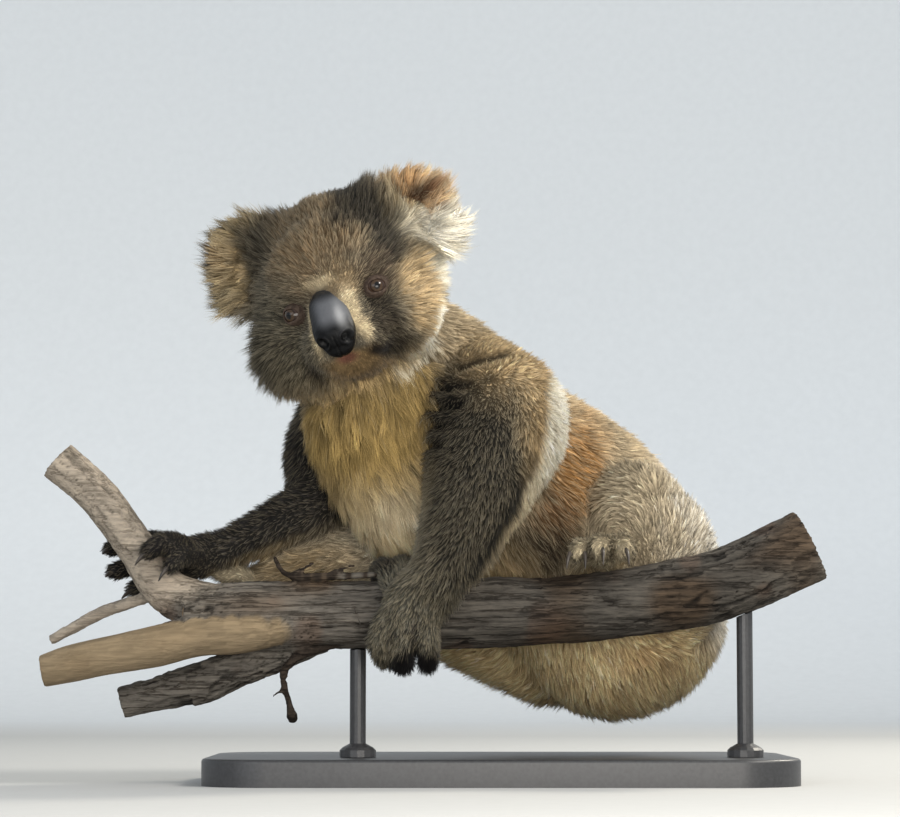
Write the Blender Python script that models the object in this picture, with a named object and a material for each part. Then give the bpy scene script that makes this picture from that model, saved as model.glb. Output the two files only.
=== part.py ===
"""A life-size koala gripping a cut length of forked limb, held up by a plain display stand.

Run with: blender --background --python part.py

The frame is metres with +Z up. The origin is the middle of the base's underside. The koala's face looks
along -Y, and +X is on the koala's left. Tables of stations are in centimetres.
The body is modelled whole from swept limbs and rounded masses, then parted by thin cuts at the places
where a person would name its parts.
"""

import math

import bmesh
import bpy
from mathutils import Matrix, Vector

CM = 0.01
MM = 0.001

# Driving dimensions
GAP = 0.3 * MM  # clearance left wherever two solids meet
CUT = 0.35 * MM  # width of the thin cuts that part the body

# Display stand
BASE_LENGTH = 44 * CM
BASE_WIDTH = 25 * CM
BASE_THICK = 2.0 * CM
BASE_CORNER = 5 * CM
BASE_BEVEL = 0.25 * CM
ROD_RADIUS = 0.6 * CM
COLLAR_RADIUS = 1.35 * CM
COLLAR_HEIGHT = 1.0 * CM
ROD_SPOTS = ((-10.6, -5.0), (18.2, -5.0))
ROD_TOP = 13.4  # inside the limb, which then cuts the rod to its saddle

# Head: its centre, and the turn, tilt and nod that bring it round to look at the viewer
HEAD_CENTRE = (-11.2, -8.3, 36.0)
HEAD_TURN = -14
HEAD_TILT = -17
HEAD_NOD = 8
EYE_SPACING = 3.15
EYE_HEIGHT = -0.2
EYE_RADIUS = 0.88
EYE_FORWARD = -4.7

# Surface resolution
BODY_VOXEL = 4 * MM
FINE_VOXEL = 2.8 * MM
PERCH_VOXEL = 4 * MM
KOALA_TRIANGLES = 1060
PERCH_TRIANGLES = 400


def cm(point):
    return Vector(point) * CM


def head_frame():
    """Head coordinates to the world: +X is the koala's left, -Y is forward and +Z is up through the crown."""
    turn = Matrix.Rotation(math.radians(HEAD_TURN), 4, "Z")
    tilt = Matrix.Rotation(math.radians(HEAD_TILT), 4, "Y")
    nod = Matrix.Rotation(math.radians(HEAD_NOD), 4, "X")
    return Matrix.Translation(cm(HEAD_CENTRE)) @ turn @ tilt @ nod


# ---------------------------------------------------------------- helpers


def clear_scene():
    for obj in list(bpy.data.objects):
        bpy.data.objects.remove(obj)


def material(name, colour, roughness, metallic=0.0):
    made = bpy.data.materials.new(name)
    made.use_nodes = True
    shader = made.node_tree.nodes["Principled BSDF"]
    shader.inputs["Base Color"].default_value = (*colour, 1)
    shader.inputs["Roughness"].default_value = roughness
    shader.inputs["Metallic"].default_value = metallic
    made.diffuse_color = (*colour, 1)
    return made


def add_object(name, mesh, finish=None):
    obj = bpy.data.objects.new(name, mesh)
    bpy.context.scene.collection.objects.link(obj)
    if finish:
        mesh.materials.clear()
        mesh.materials.append(finish)
    return obj


def mesh_of(bm, name="shape"):
    mesh = bpy.data.meshes.new(name)
    bmesh.ops.triangulate(bm, faces=bm.faces)
    bmesh.ops.recalc_face_normals(bm, faces=bm.faces)
    bm.to_mesh(mesh)
    bm.free()
    return mesh


def smooth_curve(values, steps):
    """Points along a Catmull-Rom curve through the rows of numbers, steps to a span."""
    rows = [values[0], *values, values[-1]]
    found = []
    for i in range(1, len(rows) - 2):
        a, b, c, d = rows[i - 1 : i + 3]
        for k in range(steps):
            t = k / steps
            found.append(
                [
                    0.5 * (2 * q + (r - p) * t + (2 * p - 5 * q + 4 * r - s) * t**2 + (3 * q - p - 3 * r + s) * t**3)
                    for p, q, r, s in zip(a, b, c, d)
                ]
            )
    found.append(list(values[-1]))
    return found


def sweep(bm, stations, flat=1.0, broad=(1, 0, 0), sides=16, steps=4, round_ends=True):
    """A tube through stations of (x, y, z, radius) in centimetres, with rounded ends.

    flat is its thickness as a share of its width, and broad is the direction of the width.
    """
    rows = smooth_curve([list(s) for s in stations], steps)
    centres = [cm(r[:3]) for r in rows]
    radii = [max(r[3], 0.05) * CM for r in rows]
    if round_ends:
        first = (centres[0] - centres[1]).normalized()
        last = (centres[-1] - centres[-2]).normalized()
        head, tail = [], []
        for share in (0.95, 0.75, 0.45):
            reach = math.sqrt(1 - share**2)
            head.append((centres[0] + first * radii[0] * share * 0.9, radii[0] * reach))
            tail.append((centres[-1] + last * radii[-1] * share * 0.9, radii[-1] * reach))
        centres = [c for c, _ in head] + centres + [c for c, _ in reversed(tail)]
        radii = [r for _, r in head] + radii + [r for _, r in reversed(tail)]
    rings = []
    across = Vector(broad)
    for i, (centre, radius) in enumerate(zip(centres, radii)):
        along = (centres[min(i + 1, len(centres) - 1)] - centres[max(i - 1, 0)]).normalized()
        across = (across - along * across.dot(along)).normalized()
        over = along.cross(across)
        ring = []
        for k in range(sides):
            angle = math.tau * k / sides
            ring.append(
                bm.verts.new(centre + across * math.cos(angle) * radius + over * math.sin(angle) * radius * flat)
            )
        rings.append(ring)
    for low, high in zip(rings, rings[1:]):
        for k in range(sides):
            bm.faces.new((low[k], low[(k + 1) % sides], high[(k + 1) % sides], high[k]))
    bm.faces.new(reversed(rings[0]))
    bm.faces.new(rings[-1])


def mass(bm, centre, radii, frame=None, turn=(0, 0, 0), fine=3):
    """An ellipsoid in centimetres, in the world or in the frame given, turned by angles in degrees."""
    place = Matrix.Translation(cm(centre))
    for angle, axis in zip(turn, "XYZ"):
        place = place @ Matrix.Rotation(math.radians(angle), 4, axis)
    size = Matrix.Diagonal((*[r * CM for r in radii], 1))
    bmesh.ops.create_icosphere(bm, subdivisions=fine, radius=1, matrix=(frame or Matrix()) @ place @ size)


def apply_modifiers(obj):
    """Replaces the object's mesh with the one that its modifiers make."""
    graph = bpy.context.evaluated_depsgraph_get()
    graph.update()
    made = bpy.data.meshes.new_from_object(obj.evaluated_get(graph))
    obj.modifiers.clear()
    obj.data = made
    return obj


def fuse(obj, voxel, rounds, factor=0.5):
    """Makes overlapping shapes one skin, and softens the creases where they meet."""
    remesh = obj.modifiers.new("fuse", "REMESH")
    remesh.mode = "VOXEL"
    remesh.voxel_size = voxel
    soften = obj.modifiers.new("soften", "SMOOTH")
    soften.factor = factor
    soften.iterations = rounds
    return apply_modifiers(obj)


def thin_out(obj, triangles):
    """Brings the mesh down to about this many triangles, keeping the most where it bends most."""
    fewer = obj.modifiers.new("fewer", "DECIMATE")
    mesh = obj.data
    mesh.calc_loop_triangles()
    fewer.ratio = min(1.0, triangles / len(mesh.loop_triangles))
    return apply_modifiers(obj)


def subtract(obj, cutter):
    cut = obj.modifiers.new("cut", "BOOLEAN")
    cut.operation = "DIFFERENCE"
    cut.solver = "EXACT"
    cut.object = cutter
    return apply_modifiers(obj)


def swollen(objects, by):
    """A hidden cutter: copies of the objects, grown by a clearance on every side."""
    bm = bmesh.new()
    for obj in objects:
        one = bmesh.new()
        one.from_mesh(obj.data)
        one.normal_update()
        for vert in one.verts:
            vert.co += vert.normal * by * vert.calc_shell_factor()
        grown = bpy.data.meshes.new("grown")
        one.to_mesh(grown)
        one.free()
        bm.from_mesh(grown)
        bpy.data.meshes.remove(grown)
    return hidden(add_object("cutter", mesh_of(bm)))


def hidden(obj):
    obj.hide_render = True
    obj.display_type = "WIRE"
    return obj


def discard(*objects):
    for obj in objects:
        bpy.data.objects.remove(obj)


def loose_pieces(obj):
    """The separate bodies of a mesh, each as a mesh."""
    bm = bmesh.new()
    bm.from_mesh(obj.data)
    bm.verts.ensure_lookup_table()
    group = {}
    count = 0
    for seed in bm.verts:
        if seed in group:
            continue
        stack = [seed]
        group[seed] = count
        while stack:
            vert = stack.pop()
            for edge in vert.link_edges:
                other = edge.other_vert(vert)
                if other not in group:
                    group[other] = count
                    stack.append(other)
        count += 1
    pieces = []
    for i in range(count):
        part = bm.copy()
        part.verts.ensure_lookup_table()
        drop = [part.verts[v.index] for v in bm.verts if group[v] != i]
        bmesh.ops.delete(part, geom=drop, context="VERTS")
        pieces.append(mesh_of(part))
    bm.free()
    return pieces


# ---------------------------------------------------------------- perch

LIMB = (
    (-23.5, -5.0, 12.6, 2.2),
    (-19.0, -5.0, 12.5, 2.6),
    (-11.2, -5.0, 12.5, 2.6),
    (-3.75, -5.0, 12.6, 2.65),
    (7.4, -5.0, 13.2, 2.6),
    (16.4, -5.0, 14.8, 2.75),
    (23.2, -5.0, 17.8, 2.85),
)
FORK = (
    (-19.0, -5.0, 12.6, 1.9),
    (-24.4, -5.0, 14.0, 1.85),
    (-27.0, -5.0, 17.4, 1.65),
    (-30.0, -5.0, 21.3, 1.6),
    (-33.2, -5.0, 24.2, 1.7),
)
PALE_LIMB = (
    (-14.6, -5.8, 12.1, 1.5),
    (-17.8, -6.2, 11.6, 1.7),
    (-22.3, -6.5, 10.9, 1.7),
    (-29.6, -6.6, 9.4, 1.55),
    (-34.0, -6.6, 8.4, 1.3),
)
DEAD_LIMB = (
    (-12.6, -4.2, 11.4, 1.4),
    (-18.7, -3.5, 8.9, 1.5),
    (-22.5, -3.4, 7.5, 1.6),
    (-28.4, -3.6, 6.0, 1.2),
)
SIDE_TWIG = (
    (-25.0, -4.4, 14.2, 0.6),
    (-29.5, -3.6, 12.9, 0.55),
    (-33.8, -3.2, 10.6, 0.5),
)


def build_perch():
    """The forked limb, cut short at its ends, as one skin."""
    bm = bmesh.new()
    for stations in (LIMB, FORK, PALE_LIMB, DEAD_LIMB, SIDE_TWIG):
        sweep(bm, stations, round_ends=False, sides=20)
    perch = add_object("perch_whole", mesh_of(bm))
    fuse(perch, PERCH_VOXEL, 4)
    return perch


# ---------------------------------------------------------------- koala

NECK_AND_TRUNK = (
    (-10.6, -6.2, 34.6, 5.6),
    (-8.6, -3.6, 31.6, 6.6),
    (-6.0, -1.4, 27.6, 7.6),
    (-0.8, 2.4, 23.5, 9.2),
    (5.2, 6.0, 18.5, 10.2),
    (9.7, 6.6, 12.7, 9.1),
)
BELLY = (
    (-9.4, -3.6, 28.0, 5.8),
    (-6.9, -2.6, 22.6, 5.2),
    (-5.8, 0.2, 19.2, 3.9),
    (-5.4, 1.4, 17.4, 2.7),
)
NAPE = (
    (-9.6, -5.0, 34.6, 5.2),
    (-6.2, -2.4, 32.6, 5.0),
    (-2.6, -2.4, 30.4, 4.8),
)
LEFT_ARM = (
    (-1.6, -4.2, 28.8, 5.2),
    (-0.5, -7.0, 26.6, 5.7),
    (-1.2, -8.6, 23.4, 4.8),
    (-2.2, -9.2, 20.4, 3.9),
    (-3.6, -9.4, 17.3, 3.1),
    (-4.9, -9.2, 14.9, 2.6),
)
RIGHT_ARM = (
    (-11.4, 3.6, 29.0, 4.0),
    (-13.6, 3.6, 25.4, 3.4),
    (-13.8, 1.6, 21.2, 3.1),
    (-17.8, -0.4, 19.0, 2.3),
    (-21.4, -2.4, 17.2, 1.7),
)
LEFT_THIGH = (
    (11.6, 2.4, 14.6, 6.2),
    (11.2, -0.2, 18.0, 5.3),
    (9.8, -1.6, 20.4, 4.3),
)
LEFT_SHIN = (
    (9.4, -2.0, 20.4, 3.2),
    (8.6, -2.4, 19.0, 2.5),
    (8.1, -2.8, 17.8, 1.8),
)
RIGHT_THIGH = (
    (4.6, 9.8, 12.2, 6.9),
    (-3.0, 7.2, 14.8, 6.0),
    (-9.6, 4.2, 16.8, 5.2),
)
RIGHT_SHIN = (
    (-9.6, 4.2, 16.8, 4.9),
    (-14.5, 1.6, 15.8, 3.6),
    (-18.0, 0.2, 14.7, 2.3),
)


def build_body():
    """Trunk, limbs and head as one skin, without hands, feet or ears."""
    bm = bmesh.new()
    sweep(bm, NECK_AND_TRUNK, sides=28)
    sweep(bm, BELLY, sides=20)
    sweep(bm, NAPE, sides=20)
    for stations in (LEFT_ARM, RIGHT_ARM, LEFT_THIGH, LEFT_SHIN, RIGHT_THIGH, RIGHT_SHIN):
        sweep(bm, stations, sides=20)
    build_head(bm)
    body = add_object("body", mesh_of(bm))
    return fuse(body, BODY_VOXEL, 14)


def build_head(bm):
    """The skull's broad round mass, full cheeks, the short muzzle and the chin, in the head's own frame."""
    frame = head_frame()
    mass(bm, (0, 1.0, 0.7), (7.3, 7.0, 6.9), frame)
    mass(bm, (0.2, 0.4, 3.2), (6.4, 5.0, 5.2), frame)
    mass(bm, (0, -2.4, 2.0), (5.2, 4.2, 4.6), frame)
    mass(bm, (-3.7, -0.6, -2.6), (4.3, 5.2, 4.3), frame)
    mass(bm, (3.0, -0.8, -2.2), (3.7, 5.0, 3.9), frame)
    for side in (-1, 1):
        mass(bm, (side * 1.5, -5.0, -3.3), (2.1, 2.6, 1.9), frame)
    mass(bm, (0, -5.0, -1.4), (2.5, 3.4, 2.8), frame)
    mass(bm, (0, -3.6, -4.6), (2.6, 3.2, 1.8), frame)


EAR_CENTRES = {-1: (-6.4, 0.6, 4.2), 1: (6.2, 0.8, 3.8)}
EAR_WIDTH = 2.5
EAR_HEIGHT = {-1: 3.4, 1: 3.1}  # the right ear's long fringe hangs lower
EAR_RIM = 1.15


def build_ear(bm, side):
    """A thick, round, cupped ear: a disc with a raised rim."""
    frame = head_frame()
    x, y, z = EAR_CENTRES[side]
    high = EAR_HEIGHT[side]
    mass(bm, (x, y + 0.5, z), (EAR_WIDTH + 0.4, 1.0, high + 0.4), frame, (0, side * 14, side * 8))
    rim = []
    for step in range(9):
        angle = math.radians(-80 + 235 * step / 8)
        out = math.cos(angle) * EAR_WIDTH
        up = math.sin(angle) * high
        place = frame @ cm((x + side * out, y - 0.1 + 0.15 * out, z + up))
        rim.append((*(place / CM), EAR_RIM))
    sweep(bm, rim, sides=12, steps=2)


# Hands and feet: (x, y, z, radius) stations of each digit, thumb first, from the palm to the tip
LEFT_PALM = (
    (-5.0, -9.2, 14.8, 2.3),
    (-6.3, -8.7, 13.2, 2.5),
    (-7.0, -8.7, 11.8, 2.2),
)
LEFT_DIGITS = (
    ((-6.6, -8.0, 14.4, 1.0), (-7.2, -6.0, 16.1, 0.95), (-7.6, -3.4, 16.0, 0.85)),
    ((-7.6, -7.8, 13.8, 1.0), (-8.5, -5.8, 15.9, 0.95), (-9.2, -3.4, 15.8, 0.85)),
    ((-8.3, -8.6, 12.2, 1.1), (-8.9, -8.9, 10.6, 1.0), (-8.6, -7.2, 9.2, 0.85)),
    ((-7.0, -8.9, 11.6, 1.1), (-7.3, -8.8, 10.1, 1.05), (-7.2, -6.8, 8.8, 0.9)),
    ((-5.5, -8.7, 12.0, 1.1), (-5.4, -8.6, 10.5, 1.0), (-5.4, -6.8, 8.9, 0.85)),
)
RIGHT_PALM = (
    (-21.8, -2.6, 17.2, 1.7),
    (-23.0, -3.0, 16.9, 1.8),
    (-24.0, -3.0, 16.9, 1.6),
)
RIGHT_DIGITS = (
    ((-22.6, -3.8, 16.8, 0.95), (-23.6, -6.2, 16.9, 0.9), (-24.4, -7.5, 16.1, 0.8)),
    ((-23.6, -4.2, 17.6, 1.0), (-24.9, -6.6, 17.9, 1.0), (-26.0, -7.6, 17.2, 0.85)),
    ((-24.2, -2.8, 17.8, 1.0), (-26.8, -2.3, 18.2, 0.95), (-29.2, -3.4, 17.6, 0.85)),
    ((-24.2, -2.6, 16.8, 1.0), (-26.4, -1.9, 16.6, 0.95), (-29.0, -3.0, 15.9, 0.85)),
    ((-23.6, -2.0, 16.0, 1.0), (-25.4, -1.4, 15.2, 0.95), (-27.6, -1.6, 14.6, 0.85)),
)
LEFT_SOLE = (
    (8.2, -2.4, 17.6, 1.7),
    (7.9, -3.6, 17.3, 1.8),
    (7.7, -5.0, 17.4, 1.6),
)
LEFT_TOES = (
    ((6.6, -3.6, 17.2, 1.0), (5.2, -2.0, 16.4, 0.95), (5.0, -1.2, 14.8, 0.85)),
    ((6.6, -5.2, 17.4, 0.95), (6.0, -6.3, 17.4, 0.9), (5.7, -7.1, 17.0, 0.8)),
    ((7.6, -5.4, 17.6, 0.95), (7.4, -6.8, 17.7, 0.95), (7.3, -7.6, 17.3, 0.85)),
    ((8.8, -5.2, 17.6, 0.95), (9.1, -6.5, 17.7, 0.95), (9.2, -7.4, 17.3, 0.85)),
)
RIGHT_SOLE = (
    (-17.8, 0.2, 14.5, 1.9),
    (-19.2, -0.6, 13.9, 1.8),
    (-20.2, -1.0, 13.2, 1.5),
)
RIGHT_TOES = (
    ((-18.6, -0.8, 14.8, 1.0), (-19.6, -1.6, 15.6, 0.9), (-21.0, -2.4, 15.6, 0.8)),
    ((-18.8, -0.8, 12.8, 0.95), (-19.0, -1.0, 11.2, 0.9), (-19.0, -2.0, 9.8, 0.8)),
    ((-20.2, -1.0, 12.6, 0.95), (-20.7, -1.2, 11.0, 0.9), (-20.8, -2.2, 9.7, 0.8)),
    ((-21.2, -1.2, 13.0, 0.95), (-22.4, -1.4, 11.8, 0.9), (-23.0, -2.3, 10.8, 0.8)),
)


def build_paws(bm):
    sweep(bm, LEFT_PALM, flat=0.62, broad=(1, 0, 0))
    sweep(bm, RIGHT_PALM, flat=0.8, broad=(0, 0, 1))
    sweep(bm, LEFT_SOLE, flat=0.7, broad=(1, 0, 0))
    sweep(bm, RIGHT_SOLE, flat=0.7, broad=(0, 0, 1))
    for digits in (LEFT_DIGITS, RIGHT_DIGITS, LEFT_TOES, RIGHT_TOES):
        for stations in digits:
            sweep(bm, stations, sides=10, steps=3)


def build_koala():
    body = build_body()
    bm = bmesh.new()
    bm.from_mesh(body.data)
    for side in (-1, 1):
        build_ear(bm, side)
    build_paws(bm)
    whole = add_object("koala_whole", mesh_of(bm))
    discard(body)
    fuse(whole, FINE_VOXEL, 3)
    return whole


NOSE = (
    (0, -6.0, 0.0, 0.95),
    (0, -6.8, -0.7, 1.35),
    (0, -7.5, -1.7, 1.55),
    (0, -7.95, -2.7, 1.55),
    (0, -7.8, -3.35, 1.15),
)


def build_nose():
    """The bare leathery nose, narrow at the bridge and broad at the nostrils."""
    frame = head_frame()
    stations = [(*(frame @ cm(s[:3]) / CM), s[3]) for s in NOSE]
    bm = bmesh.new()
    sweep(bm, stations, flat=0.72, broad=frame.to_3x3() @ Vector((1, 0, 0)), sides=12, steps=1)
    return add_object("nose", mesh_of(bm))


def build_eye(side, finish):
    frame = head_frame()
    bm = bmesh.new()
    mass(bm, (side * EYE_SPACING, EYE_FORWARD, EYE_HEIGHT), (EYE_RADIUS,) * 3, frame, fine=2)
    return add_object("eye_left" if side > 0 else "eye_right", mesh_of(bm), finish)


# Claws: the tip of the digit each grows from, the way it sets out and the way it curls
CLAW_RADIUS = 0.3
LEFT_HAND_CLAWS = (
    ((-7.6, -3.4, 16.0), (-0.1, 1, -0.1), (0, -0.1, -1)),
    ((-9.2, -3.4, 15.8), (-0.3, 1, -0.1), (0, -0.1, -1)),
    ((-8.6, -7.2, 9.0), (-0.1, 0.9, -0.5), (0, 0.3, 1)),
    ((-7.2, -6.8, 8.6), (0, 0.9, -0.5), (0, 0.3, 1)),
    ((-5.4, -6.8, 8.7), (0.1, 0.9, -0.5), (0, 0.3, 1)),
)
RIGHT_HAND_CLAWS = (
    ((-24.4, -7.5, 16.1), (-0.6, -0.7, -0.5), (-0.2, 0.5, -1)),
    ((-26.0, -7.6, 17.2), (-0.7, -0.6, -0.5), (-0.3, 0.6, -1)),
    ((-29.2, -3.4, 17.6), (-0.6, -0.7, -0.3), (0.4, -1, -0.3)),
    ((-29.0, -3.0, 15.9), (-0.6, -0.7, -0.3), (0.4, -1, -0.3)),
    ((-27.6, -1.6, 14.6), (-0.7, -0.4, -0.4), (0, -1, -0.6)),
)
LEFT_FOOT_CLAWS = (
    ((5.2, -7.1, 17.0), (-0.2, -1, -0.1), (0, 0.35, -1)),
    ((6.2, -7.1, 17.0), (0, -1, -0.1), (0, 0.35, -1)),
    ((7.5, -7.6, 17.3), (0, -1, -0.1), (0, 0.35, -1)),
    ((9.2, -7.4, 17.3), (0.1, -1, -0.1), (0, 0.35, -1)),
)
RIGHT_FOOT_CLAWS = (
    ((-18.7, -2.0, 9.8), (0.1, -0.8, -0.6), (0, -1, 0.7)),
    ((-19.3, -2.0, 9.8), (-0.1, -0.8, -0.6), (0, -1, 0.7)),
    ((-20.8, -2.2, 9.7), (0, -0.8, -0.6), (0, -1, 0.7)),
    ((-23.0, -2.3, 10.8), (-0.2, -0.8, -0.6), (0, -1, 0.7)),
)
# Each paw's claws, the number of the first and their length in centimetres
CLAW_SETS = {
    "hand_left": (LEFT_HAND_CLAWS, 1, 2.2),
    "hand_right": (RIGHT_HAND_CLAWS, 1, 1.6),
    "foot_left": (LEFT_FOOT_CLAWS, 2, 2.2),
    "foot_right": (RIGHT_FOOT_CLAWS, 2, 2.2),
}


def build_claw(name, root, out, curl, length, finish):
    """A long claw, deep at the root, that sets out along the digit and curls to a point."""
    here = Vector(root)
    out = Vector(out).normalized()
    curl = Vector(curl).normalized()
    stations = []
    spans = 4
    for i in range(spans + 1):
        share = i / spans
        radius = CLAW_RADIUS * (1 - share) ** 0.7 + 0.05
        stations.append((*here, radius))
        bend = 1.25 * share
        heading = (out * math.cos(bend) + curl * math.sin(bend)).normalized()
        here = here + heading * (length / spans)
    bm = bmesh.new()
    sweep(bm, stations, flat=0.75, broad=curl, sides=5, steps=1, round_ends=False)
    return add_object(name, mesh_of(bm), finish)


def build_claws(finish):
    claws = []
    for paw, (rows, first, length) in CLAW_SETS.items():
        for i, (root, out, curl) in enumerate(rows):
            claws.append(build_claw(f"claw_{paw}_{i + first}", root, out, curl, length, finish))
    return claws


# ---------------------------------------------------------------- display stand


def build_base(finish):
    """A flat slab with rounded corners, its underside at Z = 0."""
    bm = bmesh.new()
    outline = []
    for corner in range(4):
        turn = math.radians(90 * corner)
        side_x = 1 if corner in (0, 3) else -1
        side_y = 1 if corner in (0, 1) else -1
        middle_x = side_x * (BASE_LENGTH / 2 - BASE_CORNER)
        middle_y = side_y * (BASE_WIDTH / 2 - BASE_CORNER)
        for step in range(6):
            angle = turn + math.radians(90) * step / 5
            outline.append((middle_x + BASE_CORNER * math.cos(angle), middle_y + BASE_CORNER * math.sin(angle)))
    layers = (
        (0, 0),
        (BASE_THICK - BASE_BEVEL, 0),
        (BASE_THICK - BASE_BEVEL * 0.35, BASE_BEVEL * 0.35),
        (BASE_THICK, BASE_BEVEL),
    )
    rings = []
    for height, inset in layers:
        ring = []
        for x, y in outline:
            shrink_x = 1 - inset / (BASE_LENGTH / 2)
            shrink_y = 1 - inset / (BASE_WIDTH / 2)
            ring.append(bm.verts.new((x * shrink_x, y * shrink_y, height)))
        rings.append(ring)
    count = len(outline)
    for low, high in zip(rings, rings[1:]):
        for k in range(count):
            bm.faces.new((low[k], low[(k + 1) % count], high[(k + 1) % count], high[k]))
    bm.faces.new(reversed(rings[0]))
    bm.faces.new(rings[-1])
    return add_object("stand_base", mesh_of(bm), finish)


def build_rod(name, spot, cutter, finish):
    """An upright rod with a flanged foot, its top saddled to the limb it carries."""
    sides = 16
    floor = BASE_THICK / CM + GAP / CM
    profile = (
        (COLLAR_RADIUS / CM, floor),
        (COLLAR_RADIUS / CM, floor + COLLAR_HEIGHT / CM * 0.5),
        (COLLAR_RADIUS / CM * 0.85, floor + COLLAR_HEIGHT / CM * 0.7),
        (ROD_RADIUS / CM, floor + COLLAR_HEIGHT / CM),
        (ROD_RADIUS / CM, ROD_TOP),
    )
    bm = bmesh.new()
    rings = []
    for radius, height in profile:
        ring = []
        for k in range(sides):
            angle = math.tau * k / sides
            ring.append(
                bm.verts.new(cm((spot[0] + radius * math.cos(angle), spot[1] + radius * math.sin(angle), height)))
            )
        rings.append(ring)
    for low, high in zip(rings, rings[1:]):
        for k in range(sides):
            bm.faces.new((low[k], low[(k + 1) % sides], high[(k + 1) % sides], high[k]))
    bm.faces.new(reversed(rings[0]))
    bm.faces.new(rings[-1])
    return subtract(add_object(name, mesh_of(bm), finish), cutter)


# ---------------------------------------------------------------- parting


def ball_region(centre, radii, frame=None):
    bm = bmesh.new()
    mass(bm, centre, radii, frame, fine=2)
    return hidden(add_object("region", mesh_of(bm)))


def limb_region(stations, extra):
    """The space round a swept limb, wider than the limb by extra centimetres."""
    bm = bmesh.new()
    sweep(bm, [(*s[:3], s[3] + extra) for s in stations], sides=8, steps=1)
    return hidden(add_object("region", mesh_of(bm)))


def slab_region(point, normal, radius, depth, frame=None):
    """A cylinder of space that starts at a plane through the point and runs along the normal."""
    place = frame or Matrix()
    normal = (place.to_3x3() @ Vector(normal)).normalized()
    start = place @ cm(point)
    bm = bmesh.new()
    bmesh.ops.create_cone(
        bm,
        cap_ends=True,
        segments=14,
        radius1=radius * CM,
        radius2=radius * CM,
        depth=depth * CM,
        matrix=Matrix.Translation(start + normal * depth * CM / 2) @ normal.to_track_quat("Z", "Y").to_matrix().to_4x4(),
    )
    return hidden(add_object("region", mesh_of(bm)))


def keep_biggest(obj):
    """Drops the crumbs that a cut leaves, keeping the one main body."""
    pieces = loose_pieces(obj)
    pieces.sort(key=lambda mesh: volume_of(mesh), reverse=True)
    for crumb in pieces[1:]:
        if abs(volume_of(crumb)) > 0.2 * CM**3:
            print("crumb", obj.name, round(volume_of(crumb) / CM**3, 2), "cubic cm", crumb.vertices[0].co / CM)
        bpy.data.meshes.remove(crumb)
    obj.data = pieces[0]
    return obj


def volume_of(mesh):
    bm = bmesh.new()
    bm.from_mesh(mesh)
    size = bm.calc_volume(signed=False)
    bm.free()
    return size


def part_off(whole, name, region):
    """Takes the part of the whole that lies in the region, leaving a thin clearance, and returns it."""
    piece = add_object(name, whole.data.copy())
    cut = piece.modifiers.new("cut", "BOOLEAN")
    cut.operation = "INTERSECT"
    cut.solver = "EXACT"
    cut.object = region
    apply_modifiers(piece)
    keep_biggest(piece)
    wider = swollen([region], CUT)
    subtract(whole, wider)
    discard(wider, region)
    return piece


def body_regions():
    """The named parts of the koala and the space that each takes, in the order they are parted."""
    frame = head_frame()
    right, left = EAR_CENTRES[-1], EAR_CENTRES[1]
    yield "ear_left", slab_region((left[0] - 1.9, left[1] - 1.0, left[2] - 1.2), (1, 0, 0.62), 4.6, 9, frame)
    yield "ear_right", slab_region((right[0] + 1.9, right[1] - 1.0, right[2] - 1.2), (-1, 0, 0.62), 4.6, 9, frame)
    yield "head", ball_region((0, -0.8, 0.4), (9.2, 10.0, 8.6), frame)
    yield "hand_left", ball_region((-7.2, -6.4, 12.0), (6.2, 6.2, 6.2))
    yield "hand_right", ball_region((-25.4, -4.2, 16.6), (5.0, 6.0, 5.0))
    yield "foot_left", ball_region((7.2, -5.4, 16.6), (4.2, 4.0, 3.4))
    yield "foot_right", ball_region((-20.6, -1.2, 12.8), (4.0, 4.4, 4.6))
    yield "forearm_left", limb_region(LEFT_ARM[3:], 0.9)
    yield "forearm_right", limb_region(RIGHT_ARM[2:], 0.7)
    yield "shin_left", limb_region(LEFT_SHIN[1:], 0.7)
    yield "shin_right", limb_region(RIGHT_SHIN[1:], 0.9)
    yield "upper_arm_left", limb_region(LEFT_ARM[:3], 0.8)
    yield "upper_arm_right", limb_region(RIGHT_ARM[:3], 0.8)
    yield "thigh_left", limb_region(LEFT_THIGH, 0.8)
    yield "thigh_right", limb_region(RIGHT_THIGH, 0.8)
    yield "neck", slab_region((-8.2, -3.2, 30.6), (-0.4, -0.4, 0.8), 12, 12)
    yield "chest", slab_region((1.2, 3.6, 21.4), (-0.64, -0.38, 0.67), 14, 17)


def perch_regions():
    yield "perch_twig", limb_region(SIDE_TWIG, 0.35)
    yield "perch_fork", limb_region(FORK[2:], 0.9)
    yield "perch_pale_limb", limb_region(PALE_LIMB[2:], 0.7)
    yield "perch_dead_limb", limb_region(DEAD_LIMB[1:], 0.6)
    yield "perch_right", slab_region((10.5, -5.0, 13.6), (1, 0, 0.15), 8, 16)
    yield "perch_left", slab_region((-12.0, -5.0, 12.5), (-1, 0, 0), 9, 16)


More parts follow.
